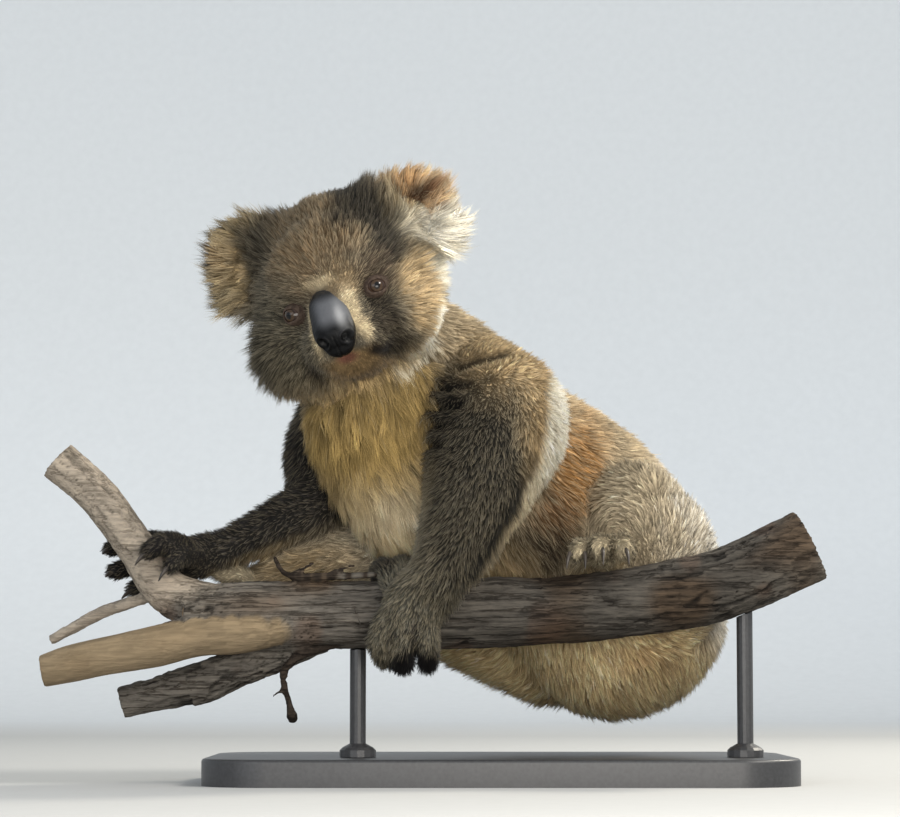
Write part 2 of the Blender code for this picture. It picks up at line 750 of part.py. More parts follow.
def main():
    clear_scene()
    fur = material("fur", (0.28, 0.25, 0.21), 0.9)
    leather = material("nose_leather", (0.03, 0.03, 0.035), 0.45)
    iris = material("eye_surface", (0.12, 0.06, 0.03), 0.08)
    horn = material("claw_horn", (0.06, 0.05, 0.045), 0.35)
    bark = material("bark", (0.25, 0.22, 0.19), 0.85)
    paint = material("stand_paint", (0.03, 0.03, 0.032), 0.5)

    perch = build_perch()
    thin_out(perch, PERCH_TRIANGLES)
    perch_cutter = swollen([perch], GAP)

    eyes = [build_eye(side, iris) for side in (-1, 1)]
    nose = build_nose()
    nose.data.materials.append(leather)
    claws = build_claws(horn)
    for claw in claws:
        subtract(claw, perch_cutter)
        keep_biggest(claw)

    koala = build_koala()
    thin_out(koala, KOALA_TRIANGLES)
    fittings = swollen([*eyes, nose, *claws], GAP)
    subtract(koala, perch_cutter)
    subtract(koala, fittings)
    keep_biggest(koala)

    pieces = [part_off(koala, name, region) for name, region in body_regions()]
    keep_biggest(koala)
    koala.name = "rump"
    for piece in (*pieces, koala):
        piece.data.materials.clear()
        piece.data.materials.append(fur)

    build_base(paint)
    for name, spot in zip(("stand_rod_left", "stand_rod_right"), ROD_SPOTS):
        build_rod(name, spot, perch_cutter, paint)

    limbs = [part_off(perch, name, region) for name, region in perch_regions()]
    keep_biggest(perch)
    perch.name = "perch_middle"
    for limb in (*limbs, perch):
        limb.data.materials.clear()
        limb.data.materials.append(bark)

    discard(perch_cutter, fittings)
    for obj in bpy.data.objects:
        if not obj.name.startswith("stand_base"):
            obj.data.shade_smooth()
            obj.data.set_sharp_from_angle(angle=math.radians(50))


main()
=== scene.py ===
"""The looks of a life-size koala on a forked limb: skin, coat, face, claws, bark, stand and studio.

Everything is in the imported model's frame: metres, +Z up, the koala's face towards -Y. The tables of stations
are in centimetres and repeat the part's own. Each soft form is shrunk by the depth of the coat on it.
"""

import itertools
import math

import bmesh
import bpy
import numpy as np
from mathutils import Matrix, Vector
from mathutils.kdtree import KDTree


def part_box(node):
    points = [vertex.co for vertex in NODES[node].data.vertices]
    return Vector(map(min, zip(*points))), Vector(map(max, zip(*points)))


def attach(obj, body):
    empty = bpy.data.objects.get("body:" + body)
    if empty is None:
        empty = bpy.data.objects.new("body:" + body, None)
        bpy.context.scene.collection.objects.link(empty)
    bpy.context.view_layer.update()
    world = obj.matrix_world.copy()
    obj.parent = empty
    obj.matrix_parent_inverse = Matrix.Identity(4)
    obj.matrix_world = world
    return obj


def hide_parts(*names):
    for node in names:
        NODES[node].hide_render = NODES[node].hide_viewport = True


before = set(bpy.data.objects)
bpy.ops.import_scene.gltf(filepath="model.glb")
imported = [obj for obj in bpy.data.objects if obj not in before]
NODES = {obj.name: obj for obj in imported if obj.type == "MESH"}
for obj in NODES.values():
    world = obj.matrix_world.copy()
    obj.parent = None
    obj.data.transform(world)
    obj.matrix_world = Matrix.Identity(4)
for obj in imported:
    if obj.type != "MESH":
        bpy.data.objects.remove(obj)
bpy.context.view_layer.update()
CM = 0.01

# ---------------------------------------------------------------- driving dimensions

HEAD_CENTRE = (-11.2, -8.3, 36.0)
HEAD_TURN = -14
HEAD_TILT = -17
HEAD_NOD = 8
EYE_SPACING = 3.15
EYE_FORWARD = -4.7
EYE_HEIGHT = -0.2
EYE_RADIUS = 0.84
EAR_CENTRES = {-1: (-6.3, 0.6, 4.1), 1: (6.1, 0.8, 3.8)}
EAR_WIDTH = 2.1
EAR_HEIGHT = {-1: 2.9, 1: 2.5}

BODY_VOXEL = 0.3 * CM
SKIN_VOXEL = 0.24 * CM
BARK_VOXEL = 0.17 * CM
NOSE_VOXEL = 0.06 * CM
COAT_STRANDS = 400000
COAT_SEED = 7
PIECE_TRIANGLES = 195000
PATCH_RADIUS = 0.001  # of each strand's patch, as a share of the map

# Coat depth taken off each form, in centimetres
TRUNK_COAT = 0.95
BELLY_COAT = 0.7
LIMB_COAT = 0.65
LIMB_COAT_SHARE = 0.26  # of the radius, at most
PAW_COAT = 0.22
FOLD_DEPTH = 0.45  # of the folds of the left shoulder's skin

# Camera: where it aims, how far off it stands and how much it looks up
AIM = Vector((-3.75, -5.0, 28.0)) * CM
CAMERA_DISTANCE = 2.3
CAMERA_PITCH = 5
PICTURE_WIDTH = 0.675  # metres across the picture at the limb

UP = np.array((0.0, 0.0, 1.0))
EAR_RIM = 0.42
RIM_STEPS = 8
# Forms of the skull, the cheeks and the muzzle in the head's frame: centre and radii
HEAD_FORMS = (
    ((0, 1, 0.7), (6.6, 6.4, 6.2)), ((0.2, 0.4, 3.1), (5.8, 4.4, 4.7)), ((0, -2.4, 2), (4.7, 3.75, 4.1)),
    ((-3.6, -0.6, -2.4), (3.9, 4.6, 3.8)), ((2.9, -0.8, -2), (3.3, 4.5, 3.4)),
    ((-1.45, -5, -3.2), (1.85, 2.35, 1.65)), ((1.45, -5, -3.2), (1.85, 2.35, 1.65)),
    ((0, -4.9, -1.4), (2.15, 3.1, 2.5)), ((0, -3.6, -4.4), (2.3, 2.9, 1.5)),
)
# Stations: x, y, z, radius in centimetres
NECK_AND_TRUNK = (
    (-10.6, -6.2, 34.6, 5.6), (-8.6, -3.6, 31.6, 6.6), (-6, -1.4, 27.6, 7.6), (-0.8, 2.4, 23.5, 9.2),
    (5.2, 6, 18.5, 10.2), (9.7, 6.6, 12.7, 9.1),
)
BELLY = ((-9.4, -3.6, 28, 5.8), (-6.9, -2.6, 22.6, 5.2), (-5.8, 0.2, 19.2, 3.9), (-5.4, 1.4, 17.4, 2.7))
NAPE = ((-9.6, -5, 34.6, 5.2), (-6.2, -2.4, 32.6, 5), (-2.6, -2.4, 30.4, 4.8))
LEFT_ARM = (
    (-1.6, -4.2, 28.8, 5.2), (-0.5, -7, 26.6, 5.7), (-1.2, -8.6, 23.4, 4.8), (-2.2, -9.2, 20.4, 3.9),
    (-3.6, -9.4, 17.3, 3.1), (-4.9, -9.2, 14.9, 2.6),
)
RIGHT_ARM = (
    (-11.4, 3.6, 29, 4), (-13.6, 3.6, 25.4, 3.4), (-13.8, 1.6, 21.2, 3.1), (-17.8, -0.4, 19, 2.3),
    (-21.4, -2.4, 17.2, 1.7),
)
LEFT_THIGH = ((11.6, 2.4, 14.6, 6.2), (11.2, -0.2, 18, 5.3), (9.8, -1.6, 20.4, 4.3))
LEFT_SHIN = ((9.4, -2, 20.4, 3.2), (8.6, -2.4, 19, 2.5), (8.1, -2.8, 17.8, 1.8))
RIGHT_THIGH = ((4.6, 9.8, 12.2, 6.9), (-3, 7.2, 14.8, 6), (-9.6, 4.2, 16.8, 5.2))
RIGHT_SHIN = ((-9.6, 4.2, 16.8, 4.9), (-14.5, 1.6, 15.8, 3.6), (-18, 0.2, 14.7, 2.3))
LEFT_PALM = ((-5, -9.2, 14.8, 2.3), (-6.3, -8.7, 13.2, 2.5), (-7, -8.7, 11.8, 2.2))
LEFT_DIGITS = (
    ((-6.6, -8, 14.4, 1), (-7.2, -6, 16.1, 0.95), (-7.6, -3.4, 16, 0.85)),
    ((-7.6, -7.8, 13.8, 1), (-8.5, -5.8, 15.9, 0.95), (-9.2, -3.4, 15.8, 0.85)),
    ((-8.3, -8.6, 12.2, 1.1), (-8.9, -8.9, 10.6, 1), (-8.6, -7.2, 9.2, 0.85)),
    ((-7, -8.9, 11.6, 1.1), (-7.3, -8.8, 10.1, 1.05), (-7.2, -6.8, 8.8, 0.9)),
    ((-5.5, -8.7, 12, 1.1), (-5.4, -8.6, 10.5, 1), (-5.4, -6.8, 8.9, 0.85)),
)
RIGHT_PALM = ((-21.8, -2.6, 17.2, 1.7), (-23, -3, 16.9, 1.8), (-24, -3, 16.9, 1.6))
RIGHT_DIGITS = (
    ((-22.6, -3.8, 16.8, 0.95), (-23.6, -6.2, 16.9, 0.9), (-24.4, -7.5, 16.1, 0.8)),
    ((-23.6, -4.2, 17.6, 1), (-24.9, -6.6, 17.9, 1), (-26, -7.6, 17.2, 0.85)),
    ((-24.2, -2.8, 17.8, 1), (-26.8, -2.3, 18.2, 0.95), (-29.2, -3.4, 17.6, 0.85)),
    ((-24.2, -2.6, 16.8, 1), (-26.4, -1.9, 16.6, 0.95), (-29, -3, 15.9, 0.85)),
    ((-23.6, -2, 16, 1), (-25.4, -1.4, 15.2, 0.95), (-27.6, -1.6, 14.6, 0.85)),
)
LEFT_SOLE = ((8.2, -2.4, 17.6, 1.7), (7.9, -3.6, 17.3, 1.8), (7.7, -5, 17.4, 1.6))
LEFT_TOES = (
    ((6.6, -3.6, 17.2, 1), (5.2, -2, 16.4, 0.95), (5, -1.2, 14.8, 0.85)),
    ((6.6, -5.2, 17.4, 0.95), (6, -6.3, 17.4, 0.9), (5.7, -7.1, 17, 0.8)),
    ((7.6, -5.4, 17.6, 0.95), (7.4, -6.8, 17.7, 0.95), (7.3, -7.6, 17.3, 0.85)),
    ((8.8, -5.2, 17.6, 0.95), (9.1, -6.5, 17.7, 0.95), (9.2, -7.4, 17.3, 0.85)),
)
RIGHT_SOLE = ((-17.8, 0.2, 14.5, 1.9), (-19.2, -0.6, 13.9, 1.8), (-20.2, -1, 13.2, 1.5))
RIGHT_TOES = (
    ((-18.6, -0.8, 14.8, 1), (-19.6, -1.6, 15.6, 0.9), (-21, -2.4, 15.6, 0.8)),
    ((-18.8, -0.8, 12.8, 0.95), (-19, -1, 11.2, 0.9), (-19, -2, 9.8, 0.8)),
    ((-20.2, -1, 12.6, 0.95), (-20.7, -1.2, 11, 0.9), (-20.8, -2.2, 9.7, 0.8)),
    ((-21.2, -1.2, 13, 0.95), (-22.4, -1.4, 11.8, 0.9), (-23, -2.3, 10.8, 0.8)),
)
NOSE = (
    (-0.35, -6, 0.1, 1.05), (-0.3, -6.75, -0.5, 1.3), (-0.1, -7.5, -1.65, 1.5), (0, -7.95, -2.7, 1.53),
    (0, -7.8, -3.35, 1.18),
)
LIMB = (
    (-23.5, -5, 12.6, 2.2), (-19, -5, 12.5, 2.6), (-11.2, -5, 12.5, 2.6), (-3.75, -5, 12.6, 2.65),
    (7.4, -5, 13.2, 2.6), (16.4, -5, 14.8, 2.75), (23.2, -5, 17.8, 2.85),
)
FORK = (
    (-19, -5, 12.6, 1.9), (-24.4, -5, 14, 1.85), (-27, -5, 17.4, 1.65), (-30, -5, 21.3, 1.6),
    (-33.2, -5, 24.2, 1.7),
)
PALE_LIMB = (
    (-14.6, -5.8, 12.1, 1.5), (-17.8, -6.2, 11.6, 1.7), (-22.3, -6.5, 10.9, 1.7), (-29.6, -6.6, 9.4, 1.55),
    (-34, -6.6, 8.4, 1.3),
)
DEAD_LIMB = (
    (-12.6, -4.2, 11.4, 1.4), (-18.7, -3.5, 8.9, 1.5), (-22.5, -3.4, 7.5, 1.6), (-28.4, -3.6, 6, 1.2),
)
SIDE_TWIG = ((-25, -4.4, 14.2, 0.6), (-29.5, -3.6, 12.9, 0.55), (-33.8, -3.2, 10.6, 0.5))
# Dry sticks: one lying along the limb's top with its spurs, one stuck to its front, one hanging below
STICKS = (
    ((-16.8, -6.1, 16.8, 0.2), (-15.9, -6.1, 15.5, 0.28), (-13.6, -6.1, 15.35, 0.28),
     (-9.2, -6.2, 15.5, 0.18)),
    ((-15.8, -6.1, 15.5, 0.18), (-14.6, -6.3, 16.0, 0.14), (-13.9, -6.5, 16.4, 0.1)),
    ((-12.8, -6.1, 15.4, 0.2), (-11.6, -6.5, 16.0, 0.14), (-10.8, -6.6, 16.1, 0.1)),
    ((-11.1, -7.6, 14.0, 0.08), (-10.8, -8.0, 13.0, 0.11), (-10.2, -8.0, 11.4, 0.08)),
    ((-12.6, -5.4, 10.4, 0.5), (-14.9, -5.5, 9.5, 0.4), (-16.1, -5.6, 8.2, 0.34), (-15.8, -5.8, 6.4, 0.28),
     (-15.4, -5.8, 4.9, 0.42)),
    ((-15.9, -5.8, 7.2, 0.2), (-16.9, -5.9, 6.5, 0.12)),
)


# ---------------------------------------------------------------- shape helpers


def cm(point):
    return Vector(point) * CM


def head_frame():
    """Head coordinates to the world: +X is the koala's left, -Y is forward and +Z is up to the crown."""
    turn = Matrix.Rotation(math.radians(HEAD_TURN), 4, "Z")
    tilt = Matrix.Rotation(math.radians(HEAD_TILT), 4, "Y")
    nod = Matrix.Rotation(math.radians(HEAD_NOD), 4, "X")
    return Matrix.Translation(cm(HEAD_CENTRE)) @ turn @ tilt @ nod


HEAD = head_frame()
HEAD_AXES = np.array(HEAD.to_3x3())


def smooth_curve(values, steps):
    """Rows along a Catmull-Rom curve through the rows of numbers, steps to a span."""
    rows = [np.array(row, float) for row in (values[0], *values, values[-1])]
    found = []
    for a, b, c, d in zip(rows, rows[1:], rows[2:], rows[3:]):
        for t in np.arange(steps) / steps:
            cubic = (3 * b - a - 3 * c + d) * t**3
            found.append(0.5 * (2 * b + (c - a) * t + (2 * a - 5 * b + 4 * c - d) * t**2 + cubic))
    return [*found, rows[-1]]


def shrunk(stations, depth):
    return [(*s[:3], s[3] - depth) for s in stations]


def bridge(bm, rings, closed=True):
    """Faces between each ring of points and the next, and over the two ends."""
    for low, high in zip(rings, rings[1:]):
        for k, point in enumerate(low):
            there = (k + 1) % len(low)
            bm.faces.new((point, low[there], high[there], high[k]))
    if closed:
        bm.faces.new(reversed(rings[0]))
        bm.faces.new(rings[-1])


def sweep(bm, stations, flat=1.0, broad=(1, 0, 0), sides=24, steps=6, round_ends=True):
    """A tube through stations, with rounded ends. flat is its thickness as a share of its width."""
    rows = smooth_curve(stations, steps)
    centres = [cm(r[:3]) for r in rows]
    radii = [max(r[3], 0.02) * CM for r in rows]
    if round_ends:
        first = (centres[0] - centres[1]).normalized()
        last = (centres[-1] - centres[-2]).normalized()
        head, tail = [], []
        for share in (0.99, 0.9, 0.75, 0.45):
            reach = math.sqrt(1 - share**2)
            head.append((centres[0] + first * radii[0] * share * 0.9, radii[0] * reach))
            tail.append((centres[-1] + last * radii[-1] * share * 0.9, radii[-1] * reach))
        centres = [c for c, _ in head] + centres + [c for c, _ in reversed(tail)]
        radii = [r for _, r in head] + radii + [r for _, r in reversed(tail)]
    rings = []
    across = Vector(broad)
    for i, (centre, radius) in enumerate(zip(centres, radii)):
        along = (centres[min(i + 1, len(centres) - 1)] - centres[max(i - 1, 0)]).normalized()
        across = (across - along * across.dot(along)).normalized()
        over = along.cross(across)
        ring = []
        for k in range(sides):
            angle = math.tau * k / sides
            out = across * math.cos(angle) * radius
            off = over * math.sin(angle) * radius * flat
            ring.append(bm.verts.new(centre + out + off))
        rings.append(ring)
    bridge(bm, rings)


def head_mass(bm, centre, radii, turn=(0, 0, 0)):
    """An ellipsoid in the head's frame, in centimetres, turned by angles in degrees."""
    spot = Matrix.Translation(cm(centre))
    for angle, axis in zip(turn, "XYZ"):
        spot = spot @ Matrix.Rotation(math.radians(angle), 4, axis)
    size = Matrix.Diagonal((*[r * CM for r in radii], 1))
    bmesh.ops.create_icosphere(bm, subdivisions=4, radius=1, matrix=HEAD @ spot @ size)


def add_object(name, bm, finish=None):
    mesh = bpy.data.meshes.new(name)
    bmesh.ops.recalc_face_normals(bm, faces=bm.faces)
    bm.to_mesh(mesh)
    bm.free()
    return add_mesh(name, mesh, finish)


def link_to_scene(obj):
    bpy.context.scene.collection.objects.link(obj)
    return obj


def add_mesh(name, mesh, finish):
    obj = link_to_scene(bpy.data.objects.new(name, mesh))
    mesh.shade_smooth()
    if finish:
        mesh.materials.clear()
        mesh.materials.append(finish)
    return obj


def apply_modifiers(obj):
    graph = bpy.context.evaluated_depsgraph_get()
    graph.update()
    made = bpy.data.meshes.new_from_object(obj.evaluated_get(graph))
    obj.modifiers.clear()
    obj.data = made
    return obj


def fuse(obj, voxel, rounds):
    """Makes overlapping shapes one closed skin, and softens the creases where they meet."""
    remesh = obj.modifiers.new("fuse", "REMESH")
    remesh.mode = "VOXEL"
    remesh.voxel_size = voxel
    remesh.use_smooth_shade = True
    soften = obj.modifiers.new("soften", "SMOOTH")
    soften.factor = 0.5
    soften.iterations = rounds
    return apply_modifiers(obj)


def numbers_of(items, name, width, kind=np.float32):
    """One property of all of a mesh's items, a row of numbers for each."""
    flat = np.empty(len(items) * width, kind)
    items.foreach_get(name, flat)
    return flat.reshape(-1, width)


def points_of(mesh):
    return numbers_of(mesh.vertices, "co", 3).astype(float)


def normals_of(mesh):
    return numbers_of(mesh.vertices, "normal", 3).astype(float)


def move_points(mesh, points):
    mesh.vertices.foreach_set("co", points.astype(np.float32).ravel())
    mesh.update()


def paint_points(mesh, colours):
    """Colours a mesh point by point."""
    rgba = np.ones((len(mesh.vertices), 4), np.float32)
    rgba[:, :3] = colours
    mesh.attributes.new("tint", "FLOAT_COLOR", "POINT").data.foreach_set("color", rgba.ravel())


def unit(vectors):
    return vectors / np.maximum(np.linalg.norm(vectors, axis=-1, keepdims=True), 1e-9)


def smoothstep(low, high, values):
    t = np.clip((values - low) / (high - low), 0, 1)
    return t * t * (3 - 2 * t)


def outside(points, centre, radii, start, end):
    """0 inside an ellipsoid and 1 outside it, with the change between two multiples of its radii."""
    gap = (points - np.array(centre)) / np.array(radii)
    return smoothstep(start, end, np.linalg.norm(gap, axis=1))


def noise(points, size, seed=0):
    """Smooth noise from -1 to 1 at points in centimetres, its lumps about size centimetres across."""
    place = points / size
    base = np.floor(place).astype(np.int64)
    part = place - base
    part = part * part * (3 - 2 * part)
    total = np.zeros(len(points))
    for corner in itertools.product((0, 1), repeat=3):
        # a hash of the corner's cell gives the value there
        cell = base + np.array(corner)
        mixed = cell[:, 0] * 73856093 ^ cell[:, 1] * 19349663 ^ cell[:, 2] * 83492791 ^ (seed + 7) * 26544357
        mixed = (mixed ^ (mixed >> 13)) * 1274126177 & 0x7FFFFFFF
        value = ((mixed ^ (mixed >> 16)) & 0xFFFF) / 32768 - 1
        total += value * np.prod(np.where(corner, part, 1 - part), axis=1)
    return total


def relax(values, edges, rounds):
    """Averages values at points with those of their neighbours."""
    here, there = np.concatenate((edges, edges[:, ::-1])).T
    count = len(values)
    degree = np.bincount(here, minlength=count).astype(float)[:, None]
    for _ in range(rounds):
        total = [np.bincount(here, weights=column, minlength=count) for column in values[there].T]
        values = 0.5 * values + 0.5 * np.stack(total, axis=1) / np.maximum(degree, 1)
    return values


# ---------------------------------------------------------------- skin


def build_ear(bm, side):
    """A round, cupped ear with a raised rim. Its long hair reaches far beyond it."""
    x, y, z = EAR_CENTRES[side]
    head_mass(bm, (x, y + 0.5, z), (EAR_WIDTH, 0.45, EAR_HEIGHT[side]), (0, side * 14, side * 8))
    rim = []
    for step in range(RIM_STEPS + 1):
        angle = math.radians(-80 + 235 * step / RIM_STEPS)
        out = math.cos(angle) * EAR_WIDTH
        up = math.sin(angle) * EAR_HEIGHT[side]
        place = HEAD @ cm((x + side * out, y - 0.1 + 0.15 * out, z + up))
        rim.append((*(place / CM), EAR_RIM))
    sweep(bm, rim, sides=12, steps=4)


def build_skin(finish):
    """One skin: body and head run together softly, then ears and paws run on to them more sharply."""
    bm = bmesh.new()
    sweep(bm, shrunk(NECK_AND_TRUNK, TRUNK_COAT), sides=40)
    sweep(bm, shrunk(BELLY, BELLY_COAT))
    sweep(bm, shrunk(NAPE, TRUNK_COAT))
    for stations in (LEFT_ARM, RIGHT_ARM, LEFT_THIGH, LEFT_SHIN, RIGHT_THIGH, RIGHT_SHIN):
        sweep(bm, [(*s[:3], s[3] - min(LIMB_COAT, LIMB_COAT_SHARE * s[3])) for s in stations])
    for centre, radii in HEAD_FORMS:
        head_mass(bm, centre, radii)
    body = fuse(add_object("body", bm), BODY_VOXEL, 16)
    bm = bmesh.new()
    bm.from_mesh(body.data)
    bpy.data.objects.remove(body)
    for side in (-1, 1):
        build_ear(bm, side)
    sweep(bm, shrunk(LEFT_PALM, PAW_COAT), flat=0.62)
    sweep(bm, shrunk(RIGHT_PALM, PAW_COAT), flat=0.8, broad=UP)
    sweep(bm, shrunk(LEFT_SOLE, PAW_COAT), flat=0.7)
    sweep(bm, shrunk(RIGHT_SOLE, PAW_COAT), flat=0.7, broad=UP)
    for stations in itertools.chain(*DIGITS.values()):
        sweep(bm, shrunk(stations, PAW_COAT), sides=16)
    skin = fuse(add_object("skin", bm, finish), SKIN_VOXEL, 5)
    sink_under_eyes(skin.data)
    points, normals = points_of(skin.data), normals_of(skin.data)
    folds = creases_at(points / CM, 0.4) * (near_bone(points / CM, LEFT_ARM)[0] < 1.3)
    move_points(skin.data, points - normals * (FOLD_DEPTH * CM * folds)[:, None])
    return skin


def eye_centre(side):
    return HEAD @ cm((side * EYE_SPACING, EYE_FORWARD, EYE_HEIGHT))


def sink_under_eyes(mesh):
    """Keeps the skin off the front of the eyeballs, as a socket."""
    points = points_of(mesh)
    forward = -HEAD_AXES[:, 1]
    behind = 0.2 * CM
    for side in (-1, 1):
        gap = points - np.array(eye_centre(side))
        ahead = gap @ forward
        across = np.linalg.norm(gap - ahead[:, None] * forward, axis=1)
        inside = (across < EYE_RADIUS * CM) & (ahead > -behind) & (ahead < 2 * CM)
        points[inside] -= (ahead[inside] + behind)[:, None] * forward
    move_points(mesh, points)


# ---------------------------------------------------------------- where each part lies


def in_world(stations):
    """Stations given in the head's own frame, in the world."""
    return [(*(HEAD @ cm((x, y, z)) / CM), radius) for x, y, z, radius in stations]


BONES = {
    "head": in_world(((0, 3, 0.6, 6), (0, 0, 0.4, 6.8), (0, -3.6, -1.6, 4.6))),
    "trunk": NECK_AND_TRUNK[1:],
    "left_arm": LEFT_ARM,
    "right_arm": RIGHT_ARM,
    "left_leg": (*LEFT_THIGH, *LEFT_SHIN[1:]),
    "right_leg": (*RIGHT_THIGH, *RIGHT_SHIN[1:]),
    "left_hand": LEFT_PALM,
    "right_hand": RIGHT_PALM,
    "left_foot": LEFT_SOLE,
    "right_foot": RIGHT_SOLE,
    "left_ear": in_world(((6.3, 0.4, 3.8, 2.6), (6.3, 1.4, 3.8, 2.6))),
    "right_ear": in_world(((-6.6, 0.2, 4.6, 2.6), (-6.6, 1.2, 4.6, 2.6))),
}
DIGITS = {
    "left_hand": LEFT_DIGITS,
    "right_hand": RIGHT_DIGITS,
    "left_foot": LEFT_TOES,
    "right_foot": RIGHT_TOES,
}


def near_bone(points, stations):
    """Distance to a bone over its radius, the bone's direction there, and how far along it the place is."""
    rows = np.array(smooth_curve([list(s) for s in stations], 4))
    ways = np.gradient(rows[:, :3], axis=0)
    best = np.full(len(points), np.inf)
    which = np.zeros(len(points), int)
    for i, row in enumerate(rows):
        reach = np.linalg.norm(points - row[:3], axis=1) / row[3]
        closer = reach < best
        best[closer] = reach[closer]
        which[closer] = i
    return best, unit(ways)[which], which / (len(rows) - 1)


def shares_of(reach, sharpness):
    """Each part's share of each point, by the distances to all the parts, and the least distance."""
    least = np.min(list(reach.values()), axis=0)
    share = {name: np.exp(-sharpness * (value - least)) for name, value in reach.items()}
    total = sum(share.values())
    return {name: value / total for name, value in share.items()}, least


def parts_at(points):
    """How much each part of the body owns each point, the bone's direction there and the place along it."""
    reach, way, along = {}, {}, {}
    for name, stations in BONES.items():
        reach[name], way[name], along[name] = near_bone(points, stations)
        for digit in DIGITS.get(name, ()):
            closer, digit_way, _ = near_bone(points, digit)
            nearer = closer < reach[name]
            reach[name] = np.where(nearer, closer, reach[name])
            way[name] = np.where(nearer[:, None], digit_way, way[name])
            along[name] = np.where(nearer, 1.0, along[name])
    return shares_of(reach, 9)[0], way, along


# ---------------------------------------------------------------- markings


def srgb(red, green, blue):
    """A colour given as display values from 0 to 255, as light."""
    value = np.array((red, green, blue)) / 255
    return np.where(value <= 0.04045, value / 12.92, ((value + 0.055) / 1.055) ** 2.4)


GREY_BROWN = srgb(166, 152, 127)
# the arms' dark grey fur, darkened further as painted shade for the shadow the near arm lies in
SHADED_CHARCOAL = srgb(44, 42, 37)
ARM_SHADE = srgb(14, 13, 12)
# painted shade: the far arm's and hand's grey fur, darkened for the shadow they lie in
SHADED_FAR_ARM = srgb(42, 40, 38)
BACK_BROWN = srgb(150, 134, 108)
FOREHEAD = srgb(108, 89, 65)
DARK_ZONE = srgb(32, 30, 27)
EYE_RING = srgb(62, 51, 41)
CHEEK_DARK = srgb(34, 29, 23)
CHEEK_SHADE = srgb(64, 60, 50)
CHEEK = srgb(90, 84, 72)
CHEEK_LIGHT = srgb(162, 138, 101)
BROW = srgb(122, 104, 78)
CREAM = srgb(192, 174, 140)
CHEST_CREAM = srgb(158, 133, 82)
BELLY_CREAM = srgb(236, 222, 194)
CHIN = srgb(132, 109, 76)
RUFF_WHITE = srgb(206, 194, 164)
RUFF_LINE = srgb(242, 234, 212)
FRINGE = srgb(246, 236, 212)
FLUFF = srgb(240, 232, 212)
RUST = srgb(146, 105, 58)
FLANK_SHADOW_BROWN = srgb(98, 73, 48)
FLANK_LIT_TAN = srgb(154, 126, 90)
FLANK_SHADOW_STREAK = srgb(88, 76, 60)
FLANK_SHADE = srgb(52, 44, 34)
LEG_BUFF = srgb(150, 129, 96)
SHADED_EAR_BUFF = srgb(136, 120, 90)
EAR_BUFF = srgb(150, 131, 99)
EAR_RIM_SHADOW = srgb(92, 62, 42)
OLIVE = srgb(146, 122, 76)
SUNLIT_BROWN = srgb(172, 148, 110)
TICK = srgb(206, 190, 158)
GOLD = srgb(180, 140, 96)
BUFF = srgb(226, 196, 146)
PALE_GREY = srgb(226, 225, 220)
HAND_GREY = srgb(74, 72, 64)
FOOT_GREY = srgb(165, 152, 126)
PAD = srgb(24, 22, 23)
MOUTH_DARK = srgb(30, 26, 23)
LIP = srgb(104, 64, 54)

# Markings over the ground colours: colour, centre and radii in centimetres, strength and softness. Those of
# the head, the ruff and the ears are in the head's own frame.
HEAD_MARKS = (
    (FOREHEAD, (-0.2, -3, 5), (4.8, 5.4, 5.2), 0.95, 0.4),
    (DARK_ZONE, (-5, -0.2, 5), (1.7, 3, 2.9), 0.95, 0.5),
    (CHEEK_LIGHT, (5.6, -2.6, -0.6), (1.7, 3, 3.4), 0.9, 0.6),
    (CHEEK_LIGHT, (5.4, -2, -3.2), (1.3, 2.6, 1.7), 0.9, 0.5),
    (DARK_ZONE, (2.6, -3, 5.3), (2.2, 2.6, 1.9), 0.9, 0.6),
    (DARK_ZONE, (2.2, 0.4, 7.4), (2, 2.6, 2), 1, 0.4),
    (DARK_ZONE, (3.2, -1.2, 6.2), (1.9, 2.6, 2), 1, 0.4),
    (DARK_ZONE, (4.5, -2.3, 4.3), (1.9, 2.4, 2.2), 1, 0.4),
    (DARK_ZONE, (5, -2.8, 2.5), (1.5, 2, 1.6), 0.9, 0.5),
    (DARK_ZONE, (4.3, -3.7, 2.4), (1.5, 1.8, 1.5), 0.9, 0.5),
    (BROW, (1.4, -6, 0.9), (1.7, 2.2, 1.5), 0.85, 0.5),
    (BROW, (-1.4, -6.2, 0.6), (1, 1.8, 1.4), 0.6, 0.6),
    (EYE_RING, (3.5, -4.7, 0.6), (1.8, 1.9, 1.9), 0.9, 0.5),
    (EYE_RING, (-2.4, -5.4, 0), (2, 1.9, 1.7), 0.7, 0.6),
    (CHEEK_SHADE, (-5.2, -3.8, -2.4), (3.2, 5, 4.4), 0.95, 0.5),
    # painted shade in a crease beside the left eye
    (DARK_ZONE, (5, -4.2, 1.2), (1, 1.2, 0.45), 0.8, 0.5),
    (CHEEK_DARK, (3.1, -5.2, -2.5), (1.4, 2.2, 2.2), 0.95, 0.5),
    (CHEEK_DARK, (3.4, -3.6, -4.6), (1.5, 2.4, 1), 0.9, 0.5),
    (CHIN, (0.3, -4.6, -5.2), (3, 4.6, 1.5), 1, 0.3),
    (CREAM, (1.4, -6.7, -1.2), (0.6, 1.7, 2), 0.9, 0.5),
    (CREAM, (-0.4, -6, 1.3), (1.3, 1.4, 0.5), 0.6, 0.6),
    (CREAM, (-1.7, -6.6, -1.8), (0.4, 1.8, 2.2), 1, 0.5),
    (CREAM, (1.9, -6.6, -2.9), (0.5, 1.4, 1), 0.9, 0.5),
    (MOUTH_DARK, (2, -5, -4.4), (0.8, 2, 0.65), 1, 0.5),
    (MOUTH_DARK, (2.9, -4, -4.9), (1, 2.6, 0.85), 1, 0.5),
    (MOUTH_DARK, (-3.1, -4.6, -4.8), (0.8, 2, 1), 0.9, 0.5),
    (LIP, (-0.1, -6.6, -4.5), (0.95, 1.3, 0.5), 0.9, 0.6),
)
